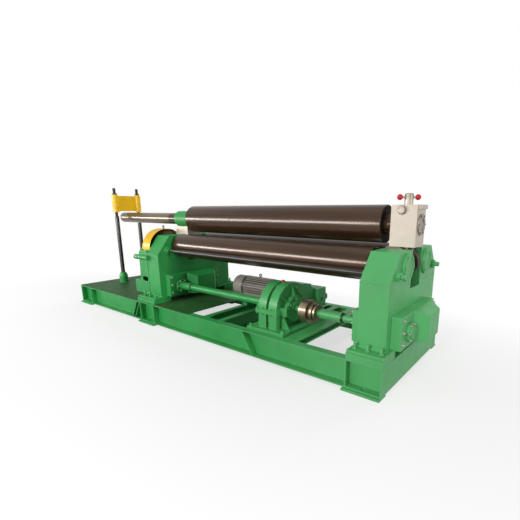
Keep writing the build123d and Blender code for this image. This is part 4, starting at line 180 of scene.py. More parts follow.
def pick(piece, kind, wanted):
    """Goes to edit mode with only those faces, edges or vertices selected whose middle is wanted."""
    bpy.context.view_layer.objects.active = piece
    bpy.ops.object.mode_set(mode="EDIT")
    bpy.ops.mesh.select_mode(type=kind)
    bpy.ops.mesh.select_all(action="DESELECT")
    bpy.ops.object.mode_set(mode="OBJECT")
    points = [vertex.co.copy() for vertex in piece.data.vertices]
    if kind == "VERT":
        for vertex in piece.data.vertices:
            vertex.select = wanted(vertex.co)
    elif kind == "EDGE":
        for edge in piece.data.edges:
            edge.select = wanted((points[edge.vertices[0]] + points[edge.vertices[1]]) / 2)
    else:
        for face in piece.data.polygons:
            face.select = wanted(face.center)
    bpy.ops.object.mode_set(mode="EDIT")


WELD_R = 0.007
WELD_STEP = 0.011
WELD_SIDES = 8
WELD_NECK = 0.76


def weld(start, end):
    """Fillet bead from one point to another: a rod cut into rings, with every other ring drawn in."""
    run = Vector(end) - Vector(start)
    rings = max(int(run.length / WELD_STEP), 2)
    bpy.ops.object.select_all(action="DESELECT")
    bpy.ops.mesh.primitive_cylinder_add(
        vertices=WELD_SIDES, radius=WELD_R, depth=run.length, location=(Vector(start) + Vector(end)) / 2,
        rotation=run.to_track_quat("Z", "Y").to_euler())
    bead = bpy.context.active_object
    pick(bead, "EDGE", lambda middle: abs(middle.z) < run.length / 4)
    bpy.ops.mesh.subdivide(number_cuts=rings - 1)
    step = run.length / rings
    pick(bead, "VERT", lambda point: round((point.z + run.length / 2) / step) % 2 == 0)
    bpy.ops.transform.resize(value=(WELD_NECK, WELD_NECK, 1), orient_type="LOCAL")
    bpy.ops.object.mode_set(mode="OBJECT")
    return bead


def join(name, pieces, material, body):
    """One piece from several, with its place in its mesh."""
    bpy.ops.object.select_all(action="DESELECT")
    for piece in pieces:
        piece.select_set(True)
    bpy.context.view_layer.objects.active = pieces[0]
    bpy.ops.object.join()
    bpy.ops.object.transform_apply(location=True, rotation=True, scale=True)
    pieces[0].name = name
    return dress(pieces[0], material, body)


# Radii for rounded are in millimetres, and all other sizes in metres
ROLLED_EDGE = 2.5
rounded("base_beams", ROLLED_EDGE, green_enamel)
BEAM_WEB_Y = 0.635
BEAM_FACE_Y = 0.695
BEAM_LOW_Z = 0.04
BEAM_HIGH_Z = 0.25
FLANGE_BEAD_Z = BEAM_HIGH_Z + 0.006
HALF_STIFFENER = 0.009
STIFFENERS_X = (-2.23, -0.83, -0.53, 2.23)
beads = []
for side in (-1, 1):
    web_y = side * BEAM_WEB_Y
    face_y = side * BEAM_FACE_Y
    for stiffener_x in STIFFENERS_X:
        for edge_x in (stiffener_x - HALF_STIFFENER, stiffener_x + HALF_STIFFENER):
            beads.append(weld((edge_x, web_y, BEAM_LOW_Z), (edge_x, web_y, BEAM_HIGH_Z)))
            beads.append(weld((edge_x, web_y, FLANGE_BEAD_Z), (edge_x, face_y, FLANGE_BEAD_Z)))
join("beam_welds", beads, green_enamel, "frame")

# Cross members, feet and pads: rolled channels and flame-cut slabs welded between and under the beams, in
# the same green enamel as the beams.
PLATE_EDGE = 2
SLAB_EDGE = 3
rounded("base_feet", PLATE_EDGE, green_enamel)
rounded("stand_pads", SLAB_EDGE, green_enamel)
cross_members = rounded("cross_members", ROLLED_EDGE, green_enamel)


def shift_points(piece, wanted, step):
    """Moves the wanted vertices of a piece by one step."""
    pick(piece, "VERT", wanted)
    bpy.ops.transform.translate(value=step)
    bpy.ops.object.mode_set(mode="OBJECT")


# The pair of rails under the clutch is shallower than its solid, and the floor shows beside it
RAILS_LEFT_X = 1.5
RAILS_RIGHT_X = 1.7
RAILS_MIDDLE_Z = 0.17
RAILS_RISE = 0.13
shift_points(cross_members,
             lambda point: RAILS_LEFT_X < point.x < RAILS_RIGHT_X and point.z < RAILS_MIDDLE_Z,
             (0, 0, RAILS_RISE))

# Deck: steel plate laid over the left part of the base, enamelled and then trodden, so it is dull, brown
# with dirt and scuffed.
trodden_enamel = enamel("trodden_green_enamel", "2a5a2c", "5e9a62", "5a5638",
                        dust_share=0.85, gloss=0.42, shine=0.05)
SHEET_EDGE = 1.5
rounded("deck_plate", SHEET_EDGE, trodden_enamel)

# Stands, lifting bar and gear case: thick welded steel frames on flanged feet, enamelled after the bores
# were cut. The bar and the case are welded to the left stand.
FRAME_EDGE = 4
rounded("left_stand", FRAME_EDGE, green_enamel)
rounded("right_stand", FRAME_EDGE, green_enamel)
rounded("gear_case", SLAB_EDGE, green_enamel)
lifting_bar = rounded("lifting_bar", PLATE_EDGE, green_enamel)
# The bar is shorter than its solid
BAR_MIDDLE_X = -0.8
BAR_END_X = -0.71
shift_points(lifting_bar, lambda point: point.x > BAR_MIDDLE_X,
             (BAR_END_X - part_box("lifting_bar")[1][0], 0, 0))
STAND_FACE_Y = 0.587
STAND_FOOT_Z = 0.352
CASE_LEFT_X = -0.96
CASE_BEAD_X = CASE_LEFT_X + 0.09
LEFT_STAND_OUTER_X = -0.77
LEFT_STAND_INNER_X = -0.52
RIGHT_STAND_INNER_X = 2.263
RIGHT_STAND_OUTER_X = 2.513
CASE_BEAD_TOP_Z = 0.885
SEAM_Y = 0.584
SEAM_Z = 0.893
beads = []
for side in (-1, 1):
    face_y = side * STAND_FACE_Y
    seam_y = side * SEAM_Y
    # One bead joins the case to the left stand, and one runs along the foot of each stand
    beads.append(weld((LEFT_STAND_OUTER_X, face_y, STAND_FOOT_Z),
                      (LEFT_STAND_OUTER_X, face_y, CASE_BEAD_TOP_Z)))
    beads.append(weld((CASE_BEAD_X, face_y, STAND_FOOT_Z), (LEFT_STAND_INNER_X, face_y, STAND_FOOT_Z)))
    beads.append(weld((RIGHT_STAND_INNER_X, face_y, STAND_FOOT_Z),
                      (RIGHT_STAND_OUTER_X, face_y, STAND_FOOT_Z)))
    # The plates of the sloping shoulders are welded on along a level seam
    for inner_x, outer_x in ((LEFT_STAND_INNER_X, LEFT_STAND_OUTER_X),
                             (RIGHT_STAND_INNER_X, RIGHT_STAND_OUTER_X)):
        beads.append(weld((inner_x, seam_y, SEAM_Z), (outer_x, seam_y, SEAM_Z)))
join("stand_welds", beads, green_enamel, "frame")

# Stand bolts: three foundation studs through each foot, each with a nut, a washer and some thread above.
# They are steel, and were brushed green with the stands.
BAR_EDGE = 1.0
rounded("stand_bolts", BAR_EDGE, green_enamel)


def copy_of(pattern, place, turn):
    """A copy of a pattern piece with its own mesh, set at a place and turned."""
    copy = pattern.copy()
    copy.data = pattern.data.copy()
    bpy.context.scene.collection.objects.link(copy)
    copy.location = place
    copy.rotation_euler = turn
    return copy


def set_copies(name, pattern, places, direction, material, body):
    """Copies of a pattern piece on the places, all pointing one way and joined into one piece."""
    turn = Vector((0, 0, 1)).rotation_difference(Vector(direction)).to_euler()
    copies = [copy_of(pattern, place, turn) for place in places]
    return join(name, copies, material, body)


THREAD_ROOT = 0.9


def screw_thread(radius, length, pitch, sides):
    """Threaded rod standing on the origin: a rod cut into rings, with every other ring drawn in."""
    rings = int(length / pitch) * 2
    bpy.ops.object.select_all(action="DESELECT")
    bpy.ops.mesh.primitive_cylinder_add(
        vertices=sides, radius=radius, depth=length, location=(0, 0, length / 2))
    rod = bpy.context.active_object
    pick(rod, "EDGE", lambda middle: abs(middle.z) < length / 4)
    bpy.ops.mesh.subdivide(number_cuts=rings - 1)
    pick(rod, "VERT", lambda point: round((point.z + length / 2) * rings / length) % 2 == 0)
    bpy.ops.transform.resize(value=(THREAD_ROOT, THREAD_ROOT, 1), orient_type="LOCAL")
    bpy.ops.object.mode_set(mode="OBJECT")
    bpy.ops.object.transform_apply(location=True, rotation=True, scale=True)
    return rod


STUD_R = 0.012
STUD_LENGTH = 0.045
STUD_Y = 0.6425
STUD_SPACING = 0.115
NUT_TOP_Z = 0.364
LEFT_FOOT_X = -0.6775
RIGHT_FOOT_X = 2.388
stud = screw_thread(STUD_R, STUD_LENGTH, pitch=0.006, sides=12)
stud_places = [(foot_x + step * STUD_SPACING, side * STUD_Y, NUT_TOP_Z)
               for foot_x in (LEFT_FOOT_X, RIGHT_FOOT_X) for side in (-1, 1) for step in (-1, 0, 1)]
set_copies("stand_studs", stud, stud_places, (0, 0, 1), green_enamel, "frame")
bpy.data.objects.remove(stud)


# Tie rods: round steel bars between the stands, blackened, with nuts inside and outside them. The nuts and
# the threaded ends were brushed green with the stands.
def metal(name, colour, stain, rough, metallic, grain):
    """Worked metal: stains in 200 mm patches, and a fine grain, even or in rings round X, in the shine."""
    material = bpy.data.materials.new(name)
    material.use_nodes = True
    tree = material.node_tree
    shader = tree.nodes["Principled BSDF"]
    place = add(tree, "ShaderNodeTexCoord").outputs["Object"]
    along = add(tree, "ShaderNodeMapping", {"Scale": grain}, {"Vector": place})
    marks = add(tree, "ShaderNodeTexNoise", {"Scale": 1.0, "Detail": 5.0}, {"Vector": along.outputs[0]})
    blots = add(tree, "ShaderNodeTexNoise", {"Scale": 5.0, "Detail": 6.0, "Roughness": 0.65},
                {"Vector": place})
    amount = add(tree, "ShaderNodeMapRange", {1: 0.35, 2: 0.7, 3: 0.0, 4: 1.0}, {0: blots.outputs["Fac"]})
    base = add(tree, "ShaderNodeMix", {"data_type": "RGBA", 6: linear(colour), 7: linear(stain)},
               {0: amount.outputs[0]})
    sheen = add(tree, "ShaderNodeMapRange", {1: 0.3, 2: 0.7, 3: rough - 0.06, 4: rough + 0.1},
                {0: marks.outputs["Fac"]})
    bump = add(tree, "ShaderNodeBump", {"Strength": 0.05, "Distance": 0.001},
               {"Height": marks.outputs["Fac"]})
    tree.links.new(base.outputs[2], shader.inputs["Base Color"])
    tree.links.new(sheen.outputs[0], shader.inputs["Roughness"])
    tree.links.new(bump.outputs[0], shader.inputs["Normal"])
    shader.inputs["Metallic"].default_value = metallic
    return material


# Casting and rolling grain is about 2.5 mm, drawn as 8 mm so that it shows
EVEN_GRAIN = (125.0, 125.0, 125.0)
# Black oxide on steel is nearly black, with a soft low shine
black_steel = metal("black_oxided_steel", "1f1c1a", "2e2822", rough=0.38, metallic=0.3, grain=EVEN_GRAIN)
TURNED_EDGE = 1.5
rounded("tie_rods", BAR_EDGE, black_steel)
rounded("tie_rod_nuts", TURNED_EDGE, green_enamel)
TIE_ROD_END_R = 0.0226
TIE_ROD_Y = 0.44
TIE_ROD_Z = 0.937
THREAD_PROUD = 0.001
ROD_END_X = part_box("tie_rods")[1][0]
NUT_FACE_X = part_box("tie_rod_nuts")[1][0]
rod_end = screw_thread(TIE_ROD_END_R, ROD_END_X - NUT_FACE_X + THREAD_PROUD, pitch=0.005, sides=20)
set_copies("tie_rod_ends", rod_end, [(NUT_FACE_X, side * TIE_ROD_Y, TIE_ROD_Z) for side in (-1, 1)],
           (1, 0, 0), green_enamel, "frame")
bpy.data.objects.remove(rod_end)


def hex_bolt(across, stud):
    """Hexagon nut on a washer with a stud end, standing on the origin along +Z, to be copied."""
    washer = across * 0.15
    washer_r = across * 0.85
    nut = across * 0.7
    top = washer + nut
    stud_r = across * 0.31
    bpy.ops.object.select_all(action="DESELECT")
    bpy.ops.mesh.primitive_cylinder_add(
        vertices=14, radius=washer_r, depth=washer, location=(0, 0, washer / 2))
    washer_piece = bpy.context.active_object
    pick(washer_piece, "EDGE", lambda middle: middle.z > washer / 4)
    bpy.ops.mesh.bevel(offset=washer * 0.3, segments=1)
    bpy.ops.object.mode_set(mode="OBJECT")
    bpy.ops.mesh.primitive_cylinder_add(
        vertices=6, radius=across / math.sqrt(3), depth=nut, location=(0, 0, washer + nut / 2))
    nut_piece = bpy.context.active_object
    pick(nut_piece, "EDGE", lambda middle: middle.z > nut * 0.4)
    bpy.ops.mesh.bevel(offset=across * 0.07, segments=1)
    bpy.ops.object.mode_set(mode="OBJECT")
    bpy.ops.mesh.primitive_cylinder_add(
        vertices=10, radius=stud_r, depth=stud, location=(0, 0, top + stud / 2))
    stud_piece = bpy.context.active_object
    pick(stud_piece, "EDGE", lambda middle: middle.z > stud * 0.4)
    bpy.ops.mesh.bevel(offset=min(across * 0.06, stud * 0.3), segments=1)
    bpy.ops.object.mode_set(mode="OBJECT")
    bpy.ops.object.select_all(action="DESELECT")
    for piece in (washer_piece, nut_piece, stud_piece):
        piece.select_set(True)
    bpy.context.view_layer.objects.active = washer_piece
    bpy.ops.object.join()
    bpy.ops.object.transform_apply(location=True, rotation=True, scale=True)
    return washer_piece


inner_nut = hex_bolt(across=0.046, stud=0.004)
for name, face_x, way in (("tie_rod_left_collars", LEFT_STAND_INNER_X, 1),
                          ("tie_rod_right_collars", RIGHT_STAND_INNER_X, -1)):
    set_copies(name, inner_nut, [(face_x, side * TIE_ROD_Y, TIE_ROD_Z) for side in (-1, 1)],
               (way, 0, 0), green_enamel, "frame")
bpy.data.objects.remove(inner_nut)


# Lower rolls, their gears and bushes: forged steel, turned and coated with brown slushing oil, so they are
# almost black with one sharp streak of light along them. The bushes are bronze.
WIPE_FADE = 0.05


def oiled_roll(name, wiped_left_of):
    """Roll steel under brown oil that was drawn along the roll; left of a place it is wiped nearly bare."""
    material = bpy.data.materials.new(name)
    material.use_nodes = True
    tree = material.node_tree
    shader = tree.nodes["Principled BSDF"]
    place = add(tree, "ShaderNodeTexCoord").outputs["Object"]
    # Smears of oil are about 45 mm wide and run for a metre and a half; drips and rags leave 600 mm blots
    drawn = add(tree, "ShaderNodeMapping", {"Scale": (0.7, 22.0, 22.0)}, {"Vector": place})
    smear = add(tree, "ShaderNodeTexNoise", {"Scale": 1.0, "Detail": 3.0}, {"Vector": drawn.outputs[0]})
    blot = add(tree, "ShaderNodeTexNoise", {"Scale": 1.7, "Detail": 1.0}, {"Vector": place})
    thick = add(tree, "ShaderNodeMapRange", {1: 0.3, 2: 0.7}, {0: smear.outputs["Fac"]})
    oil = add(tree, "ShaderNodeMix", {"data_type": "RGBA", 6: linear("4c3523"), 7: linear("372517")},
              {0: thick.outputs[0]})
    along = add(tree, "ShaderNodeSeparateXYZ", {}, {0: place})
    wiped = add(tree, "ShaderNodeMapRange", {1: wiped_left_of, 2: wiped_left_of - WIPE_FADE},
                {0: along.outputs[0]})
    bare = add(tree, "ShaderNodeMix", {"data_type": "RGBA", 7: linear("746654")},
               {0: wiped.outputs[0], 6: oil.outputs[2]})
    # Brown oil lies over the metal, so most of what shows is the oil's own brown, or where wiped the metal
    shine = add(tree, "ShaderNodeMapRange", {1: 0.0, 2: 1.0, 3: 0.16, 4: 0.55}, {0: wiped.outputs[0]})
    sheen = add(tree, "ShaderNodeMapRange", {1: 0.35, 2: 0.7, 3: 0.18, 4: 0.24}, {0: blot.outputs["Fac"]})
    tree.links.new(bare.outputs[2], shader.inputs["Base Color"])
    tree.links.new(shine.outputs[0], shader.inputs["Metallic"])
    tree.links.new(sheen.outputs[0], shader.inputs["Roughness"])
    shader.inputs["IOR"].default_value = 1.47
    shader.inputs["Specular IOR Level"].default_value = 0.34
    return material


# This place is left of the whole machine, so no part of a lower roll is wiped
NOWHERE_WIPED_X = -3.0
lower_roll_oil = oiled_roll("slushing_oil_on_lower_rolls", NOWHERE_WIPED_X)
# Painted shade: a dull black that throws hardly any light back, for the roll faces that look along X
roll_end_shade = enamel("painted_shade_on_roll_ends", "1c1713", "2a231d", "241e18",
                      dust_share=0.5, gloss=0.5, shine=0.05)
FACING_X = 0.9


def oil_roll(node, oil):
    """A roll under oil, with painted shade, a dull black, on the faces that look along it."""
    roll = rounded(node, TURNED_EDGE, oil)
    roll.data.materials.append(roll_end_shade)
    # The faces that look along the roll get the dull black of painted shade
    for face in roll.data.polygons:
        if abs(face.normal.x) > FACING_X:
            face.material_index = 1


for node in ("front_lower_roll", "rear_lower_roll"):
    oil_roll(node, lower_roll_oil)
# Oiled gear steel is a brown grey, darker where the oil stands
gear_steel = metal("oiled_gear_steel", "6b5a4a", "3d3128", rough=0.38, metallic=0.6, grain=EVEN_GRAIN)
FINE_EDGE = 0.8
for node in ("front_roll_gear", "rear_roll_gear", "drive_pinion"):
    rounded(node, FINE_EDGE, gear_steel)
# Tool rings are 0.5 mm apart in truth and drawn about 15 mm apart, so that they show
TURNED_GRAIN = (66.0, 0.4, 0.4)
# Bearing bronze is a dull gold with browner stains
bronze = metal("bearing_bronze", "a87c3f", "7d5a2a", rough=0.4, metallic=0.9, grain=TURNED_GRAIN)
rounded("lower_bushes", FINE_EDGE, bronze)

# Roll end covers: round steel plates in green enamel on the right stand, over the roll ends, each held
# by six socket screws that lie almost flush and were painted over.
rounded("roll_end_covers", SHEET_EDGE, green_enamel)
COVER_FACE_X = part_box("roll_end_covers")[1][0]
COVER_SCREW_R = 0.095
LOWER_ROLL_Y = 0.235
LOWER_ROLL_Z = 0.988


def ring_of(centre, radius, count, first_turn=0.0):
    """Places round a centre, in the plane across X."""
    x, y, z = centre
    turns = [first_turn + 2 * math.pi * step / count for step in range(count)]
    return [(x, y + radius * math.cos(turn), z + radius * math.sin(turn)) for turn in turns]


def socket_screw(radius):
    """Low screw head with a round socket, standing on the origin along +Z, to be copied."""
    height = radius * 0.3
    bpy.ops.object.select_all(action="DESELECT")
    bpy.ops.mesh.primitive_cylinder_add(
        vertices=12, radius=radius, depth=height, location=(0, 0, height / 2))
    head = bpy.context.active_object
    pick(head, "FACE", lambda middle: middle.z > height * 0.4)
    bpy.ops.mesh.inset(thickness=radius * 0.12)
    bpy.ops.transform.translate(value=(0, 0, height * 0.3))
    bpy.ops.mesh.inset(thickness=radius * 0.35)
    bpy.ops.mesh.extrude_region_move(TRANSFORM_OT_translate={"value": (0, 0, -height)})
    bpy.ops.object.mode_set(mode="OBJECT")
    bpy.ops.object.transform_apply(location=True, rotation=True, scale=True)
    return head


cover_screw = socket_screw(radius=0.009)
cover_places = [place for side in (-1, 1) for place in ring_of(
    (COVER_FACE_X, side * LOWER_ROLL_Y, LOWER_ROLL_Z), COVER_SCREW_R, count=6)]
set_copies("roll_cover_screws", cover_screw, cover_places, (1, 0, 0), green_enamel, "frame")
bpy.data.objects.remove(cover_screw)

# Gear guard: two bent-sheet hoods over the roll gears, in yellow enamel, each with a blackened lifting eye.
# The eyes on the motors are of the same kind.
# Yellow enamel is bright and glossy, and sandy where dust lies on it
yellow_enamel = enamel("yellow_enamel_on_sheet", "f8c414", "ffd95a", "c9a25a", dust_share=0.2, gloss=0.3)
rounded("gear_guard", SHEET_EDGE, yellow_enamel)
rounded("lifting_eyes", FINE_EDGE, black_steel)

# Upper roll: a heavier steel forging than the lower ones, with the same oil on its barrel. Most of its
# long tail was wiped, so it is paler and shows the metal.
WIPED_TAIL_X = -0.97
oil_roll("upper_roll", oiled_roll("slushing_oil_on_upper_roll", WIPED_TAIL_X))

# Left bearing: a machined block that slides in the stand, and a green collar round the journal. The block is
# cast iron left bare under a film of oil.
bare_iron = metal("bare_machined_iron", "d2c6b8", "c4b6a6", rough=0.46, metallic=0.1, grain=EVEN_GRAIN)
rounded("left_bearing_block", TURNED_EDGE, bare_iron)
rounded("left_bearing_collar", PLATE_EDGE, green_enamel)

# Tipping bearing: a machined iron block with a bronze taper bush on a forked carriage, hinged on a pin,
# with a round end cover and a latch. It is left bare and oiled, so it is pale cream with warm shade.
rounded("bearing_housing", PLATE_EDGE, bare_iron)
# Greasy iron is a warm grey with a sharper shine than the bare block; its darker grey is partly painted
# shade on the housing's end cover and the latch pin
greasy_and_shaded_iron = metal("greasy_and_shaded_machined_iron", "958b7e", "6e6357", rough=0.36, metallic=0.55, grain=EVEN_GRAIN)
for node in ("housing_end_cover", "latch_pin"):
    rounded(node, PLATE_EDGE, greasy_and_shaded_iron)
# Old oil turns iron a dark brown grey
oil_black_iron = metal("oil_blackened_iron", "6a5f54", "3a322b", rough=0.4, metallic=0.5, grain=EVEN_GRAIN)
for node in ("right_carriage", "tip_pin"):
    rounded(node, PLATE_EDGE, oil_black_iron)
rounded("taper_bush", FINE_EDGE, bronze)
HOUSING_COVER_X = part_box("housing_end_cover")[1][0]
HOUSING_SCREW_R = 0.079
UPPER_ROLL_Z = 1.322
housing_screw = socket_screw(radius=0.008)
set_copies("housing_cover_screws", housing_screw,
           ring_of((HOUSING_COVER_X, 0, UPPER_ROLL_Z), HOUSING_SCREW_R, count=6),
           (1, 0, 0), black_steel, "tipping_bearing")
bpy.data.objects.remove(housing_screw)

# Lock: a plated steel screw with a cross bar through its head and two red phenolic balls. The plating has
# dulled, so it is pale and a little warm.
plated_steel = metal("dull_plated_steel", "b9b2a4", "8d8474", rough=0.45, metallic=0.5, grain=EVEN_GRAIN)
rounded("lock_screw", BAR_EDGE, plated_steel)
# Moulded phenolic is smooth and shiny
red_plastic = enamel("red_phenolic_ball", "d5303a", "e8666c", "b85050", dust_share=0.1, gloss=0.2)
NO_EDGE = 0
rounded("lock_knobs", NO_EDGE, red_plastic)

# Lift screws and worm wheels: turned steel screws and bronze wheels shut in the stands, where the wheels are
# the nuts of the screws.
# Oiled shaft steel is a warm grey with tool rings in its shine
shaft_steel = metal("oiled_shaft_steel", "9a8672", "5c4b3c", rough=0.34, metallic=0.7, grain=TURNED_GRAIN)
rounded("lift_screws", FINE_EDGE, shaft_steel)
for node in ("left_worm_wheel", "right_worm_wheel"):
    rounded(node, FINE_EDGE, bronze)

# Worm cases and bearing flanges: iron castings bolted to the sides of the stands, in green enamel, with
# pale plated bolts round the shaft bearings and along the edges.
CAST_EDGE = 5
rounded("worm_cases", CAST_EDGE, green_enamel)
rounded("bearing_flanges", PLATE_EDGE, green_enamel)
LIFT_SHAFT_Y = -0.33
LIFT_SHAFT_Z = 0.475
CASE_DEPTH = 0.092
CASE_FRONT_Y = -0.505
CASE_REAR_Y = 0.31
CASE_TOP_Z = 0.63
CASE_BOTTOM_Z = 0.37
CASE_BOLT_INSET = 0.03
CASE_ROWS_Y = (CASE_FRONT_Y + CASE_BOLT_INSET, CASE_REAR_Y - CASE_BOLT_INSET)
CASE_ROWS_Z = (CASE_BOTTOM_Z + CASE_BOLT_INSET, (CASE_BOTTOM_Z + CASE_TOP_Z) / 2,
               CASE_TOP_Z - CASE_BOLT_INSET)
FLANGE_PLATE = 0.025
FLANGE_BOLT_R = 0.068
medium_bolt = hex_bolt(across=0.024, stud=0.006)
small_bolt = hex_bolt(across=0.018, stud=0.004)
slim_bolt = hex_bolt(across=0.013, stud=0.003)
for place, face_x, way in (("left_case", LEFT_STAND_INNER_X + CASE_DEPTH, 1),
                           ("right_case_inner", RIGHT_STAND_INNER_X - CASE_DEPTH, -1),
                           ("right_case_outer", RIGHT_STAND_OUTER_X + CASE_DEPTH, 1)):
    corners = [(face_x, y, z) for y in CASE_ROWS_Y for z in CASE_ROWS_Z]
    set_copies(place + "_bolts", small_bolt, corners, (way, 0, 0), plated_steel, "frame")
    bearing = (face_x + way * FLANGE_PLATE, LIFT_SHAFT_Y, LIFT_SHAFT_Z)
    set_copies(place + "_flange_bolts", slim_bolt, ring_of(bearing, FLANGE_BOLT_R, count=6), (way, 0, 0),
               plated_steel, "frame")
# The flange of the pinion's bearing is on the gear case, and its bolts were painted with it
PINION_Z = 0.818
PINION_BOLT_R = 0.102
set_copies("pinion_flange_bolts", medium_bolt,
           ring_of((CASE_LEFT_X - FLANGE_PLATE, 0, PINION_Z), PINION_BOLT_R, count=8), (-1, 0, 0),
           green_enamel, "frame")

# Lift shafts and sleeves: green-painted steel bars along the front that carry the lift drive to both stands,
# joined by sleeves. A black ring at the right-hand end of each sleeve is painted shade in the gap there.
for node in ("left_lift_shafts", "right_lift_shafts", "left_sleeve", "right_sleeve"):
    rounded(node, TURNED_EDGE, green_enamel)


def ring(left_x, right_x, outer, inner, y, z):
    """Ring round a line along X: a drum with rounded rims, its ends inset and bridged into a bore."""
    width = right_x - left_x
    rim = width * 0.15
    bpy.ops.object.select_all(action="DESELECT")
    bpy.ops.mesh.primitive_cylinder_add(
        vertices=48, radius=outer, depth=width, location=((left_x + right_x) / 2, y, z),
        rotation=(0, math.pi / 2, 0))
    drum = bpy.context.active_object
    pick(drum, "EDGE", lambda middle: abs(middle.z) > width * 0.45)
    bpy.ops.mesh.bevel(offset=rim, segments=2)
    pick(drum, "FACE", lambda middle: abs(middle.z) > width * 0.49)
    bpy.ops.mesh.inset(thickness=outer - inner - rim)
    bpy.ops.mesh.bridge_edge_loops()
    bpy.ops.object.mode_set(mode="OBJECT")
    return drum


RING_WIDTH = 0.014
RING_R = 0.047
SHAFT_R = 0.036
# A black ring at each sleeve's right end is painted shade in the gap there
for sleeve in ("left_sleeve", "right_sleeve"):
    sleeve_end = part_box(sleeve)[1][0]
    sleeve_gap_shade = ring(sleeve_end, sleeve_end + RING_WIDTH, RING_R, SHAFT_R, LIFT_SHAFT_Y, LIFT_SHAFT_Z)
    join(sleeve + "_ring", [sleeve_gap_shade], black_steel, body_of_node[sleeve])

# Jaw clutch: a drum on the left shaft and a grooved half that slides on the right one, turned steel
# left bare and oily, so it is pale with dark stains and has sharp glints.
clutch_steel = metal("oily_bare_clutch_steel", "a4957c", "40352a",
                     rough=0.32, metallic=0.85, grain=TURNED_GRAIN)
for node in ("clutch_fixed", "clutch_sliding"):
    rounded(node, TURNED_EDGE, clutch_steel)

# Lift reducer: an iron gear case split at shaft height, in green enamel, with bolts through its flange,
# lugs and feet and round the bearing caps, a red breather plug on the dome and a black drain plug.
rounded("lift_reducer_caps", SLAB_EDGE, green_enamel)
reducer_base = rounded("lift_reducer_base", CAST_EDGE, green_enamel)
reducer_cover = rounded("lift_reducer_cover", CAST_EDGE, green_enamel)
REDUCER_LEFT = 1.172
REDUCER_RIGHT = 1.402
REDUCER_MIDDLE_X = (REDUCER_LEFT + REDUCER_RIGHT) / 2
# The raised bands stand further apart than their solids do, and the groove between them is deeper in front
GROOVE_REACH = 0.016
GROOVE_WIDENING = 0.008
GROOVE_HALF = GROOVE_REACH + GROOVE_WIDENING
GROOVE_FRONT_Y = -0.43
BASE_GROOVE_Y = -0.5815
BASE_GROOVE_SINK = 0.02
COVER_GROOVE_R = 0.2515
COVER_GROOVE_SHARE = 0.88
for half_case in (reducer_base, reducer_cover):
    for side in (-1, 1):
        shift_points(half_case, lambda point: 0 < side * (point.x - REDUCER_MIDDLE_X) < GROOVE_REACH,
                     (side * GROOVE_WIDENING, 0, 0))


def in_groove(point):
    """True for a point between the bands on the front half of the case."""
    return abs(point.x - REDUCER_MIDDLE_X) < GROOVE_HALF and point.y < GROOVE_FRONT_Y


shift_points(reducer_base, lambda point: in_groove(point) and point.y > BASE_GROOVE_Y,
             (0, BASE_GROOVE_SINK, 0))
pick(reducer_cover, "VERT", lambda point: in_groove(point)
     and math.hypot(point.y - LIFT_SHAFT_Y, point.z - LIFT_SHAFT_Z) < COVER_GROOVE_R)
bpy.ops.transform.resize(value=(1, COVER_GROOVE_SHARE, COVER_GROOVE_SHARE),
                         center_override=(REDUCER_MIDDLE_X, LIFT_SHAFT_Y, LIFT_SHAFT_Z))
bpy.ops.object.mode_set(mode="OBJECT")
# Cast webs run from the bearing boss to the rim of the dome, high at the boss and low at the rim
WEB_THICKNESS = 0.014
WEB_ROOT_R = 0.125
WEB_TIP_R = 0.238
WEB_MIDDLE_R = (WEB_ROOT_R + WEB_TIP_R) / 2
WEB_SINK = 0.006
WEB_ROOT_RISE = 0.036
WEB_TIP_RISE = 0.003
WEB_ROUNDING = 0.003
WEB_DEGREES = (0, 50)
bpy.ops.object.select_all(action="DESELECT")
bpy.ops.mesh.primitive_cube_add(
    size=1, location=((WEB_ROOT_RISE - WEB_SINK) / 2, 0, WEB_MIDDLE_R),
    scale=(WEB_ROOT_RISE + WEB_SINK, WEB_THICKNESS, WEB_TIP_R - WEB_ROOT_R))
web = bpy.context.active_object
bpy.ops.object.transform_apply(location=True, rotation=True, scale=True)
shift_points(web, lambda point: point.x > 0 and point.z > WEB_MIDDLE_R, (WEB_TIP_RISE - WEB_ROOT_RISE, 0, 0))
pick(web, "EDGE", lambda middle: True)
bpy.ops.mesh.bevel(offset=WEB_ROUNDING, segments=2)
bpy.ops.object.mode_set(mode="OBJECT")
webs = [copy_of(web, (flank_x, LIFT_SHAFT_Y, LIFT_SHAFT_Z), (math.radians(turn), 0, half_turn))
        for flank_x, half_turn in ((REDUCER_RIGHT, 0), (REDUCER_LEFT, math.pi)) for turn in WEB_DEGREES]
join("reducer_webs", webs, green_enamel, "frame")
bpy.data.objects.remove(web)
LUG_TOP_Z = 0.515
LUG_Y = 0.166
LUG_X = 0.05
lug_places = [(x, LIFT_SHAFT_Y + side * LUG_Y, LUG_TOP_Z)
              for x in (REDUCER_LEFT - LUG_X, REDUCER_RIGHT + LUG_X) for side in (-1, 1)]
set_copies("reducer_lug_bolts", medium_bolt, lug_places, (0, 0, 1), green_enamel, "frame")
CAP_FACE = 0.045
CAP_BOLT_R = 0.1
for name, flank_x, way in (("reducer_right_cap_bolts", REDUCER_RIGHT, 1),
                           ("reducer_left_cap_bolts", REDUCER_LEFT, -1)):
    cap_centre = (flank_x + way * CAP_FACE, LIFT_SHAFT_Y, LIFT_SHAFT_Z)
    set_copies(name, small_bolt, ring_of(cap_centre, CAP_BOLT_R, count=6, first_turn=math.pi / 6),
               (way, 0, 0), green_enamel, "frame")
SPLIT_FLANGE = 0.022
FLANGE_EDGE = 0.011
FLANGE_SHARES = (0.3, 0.7)


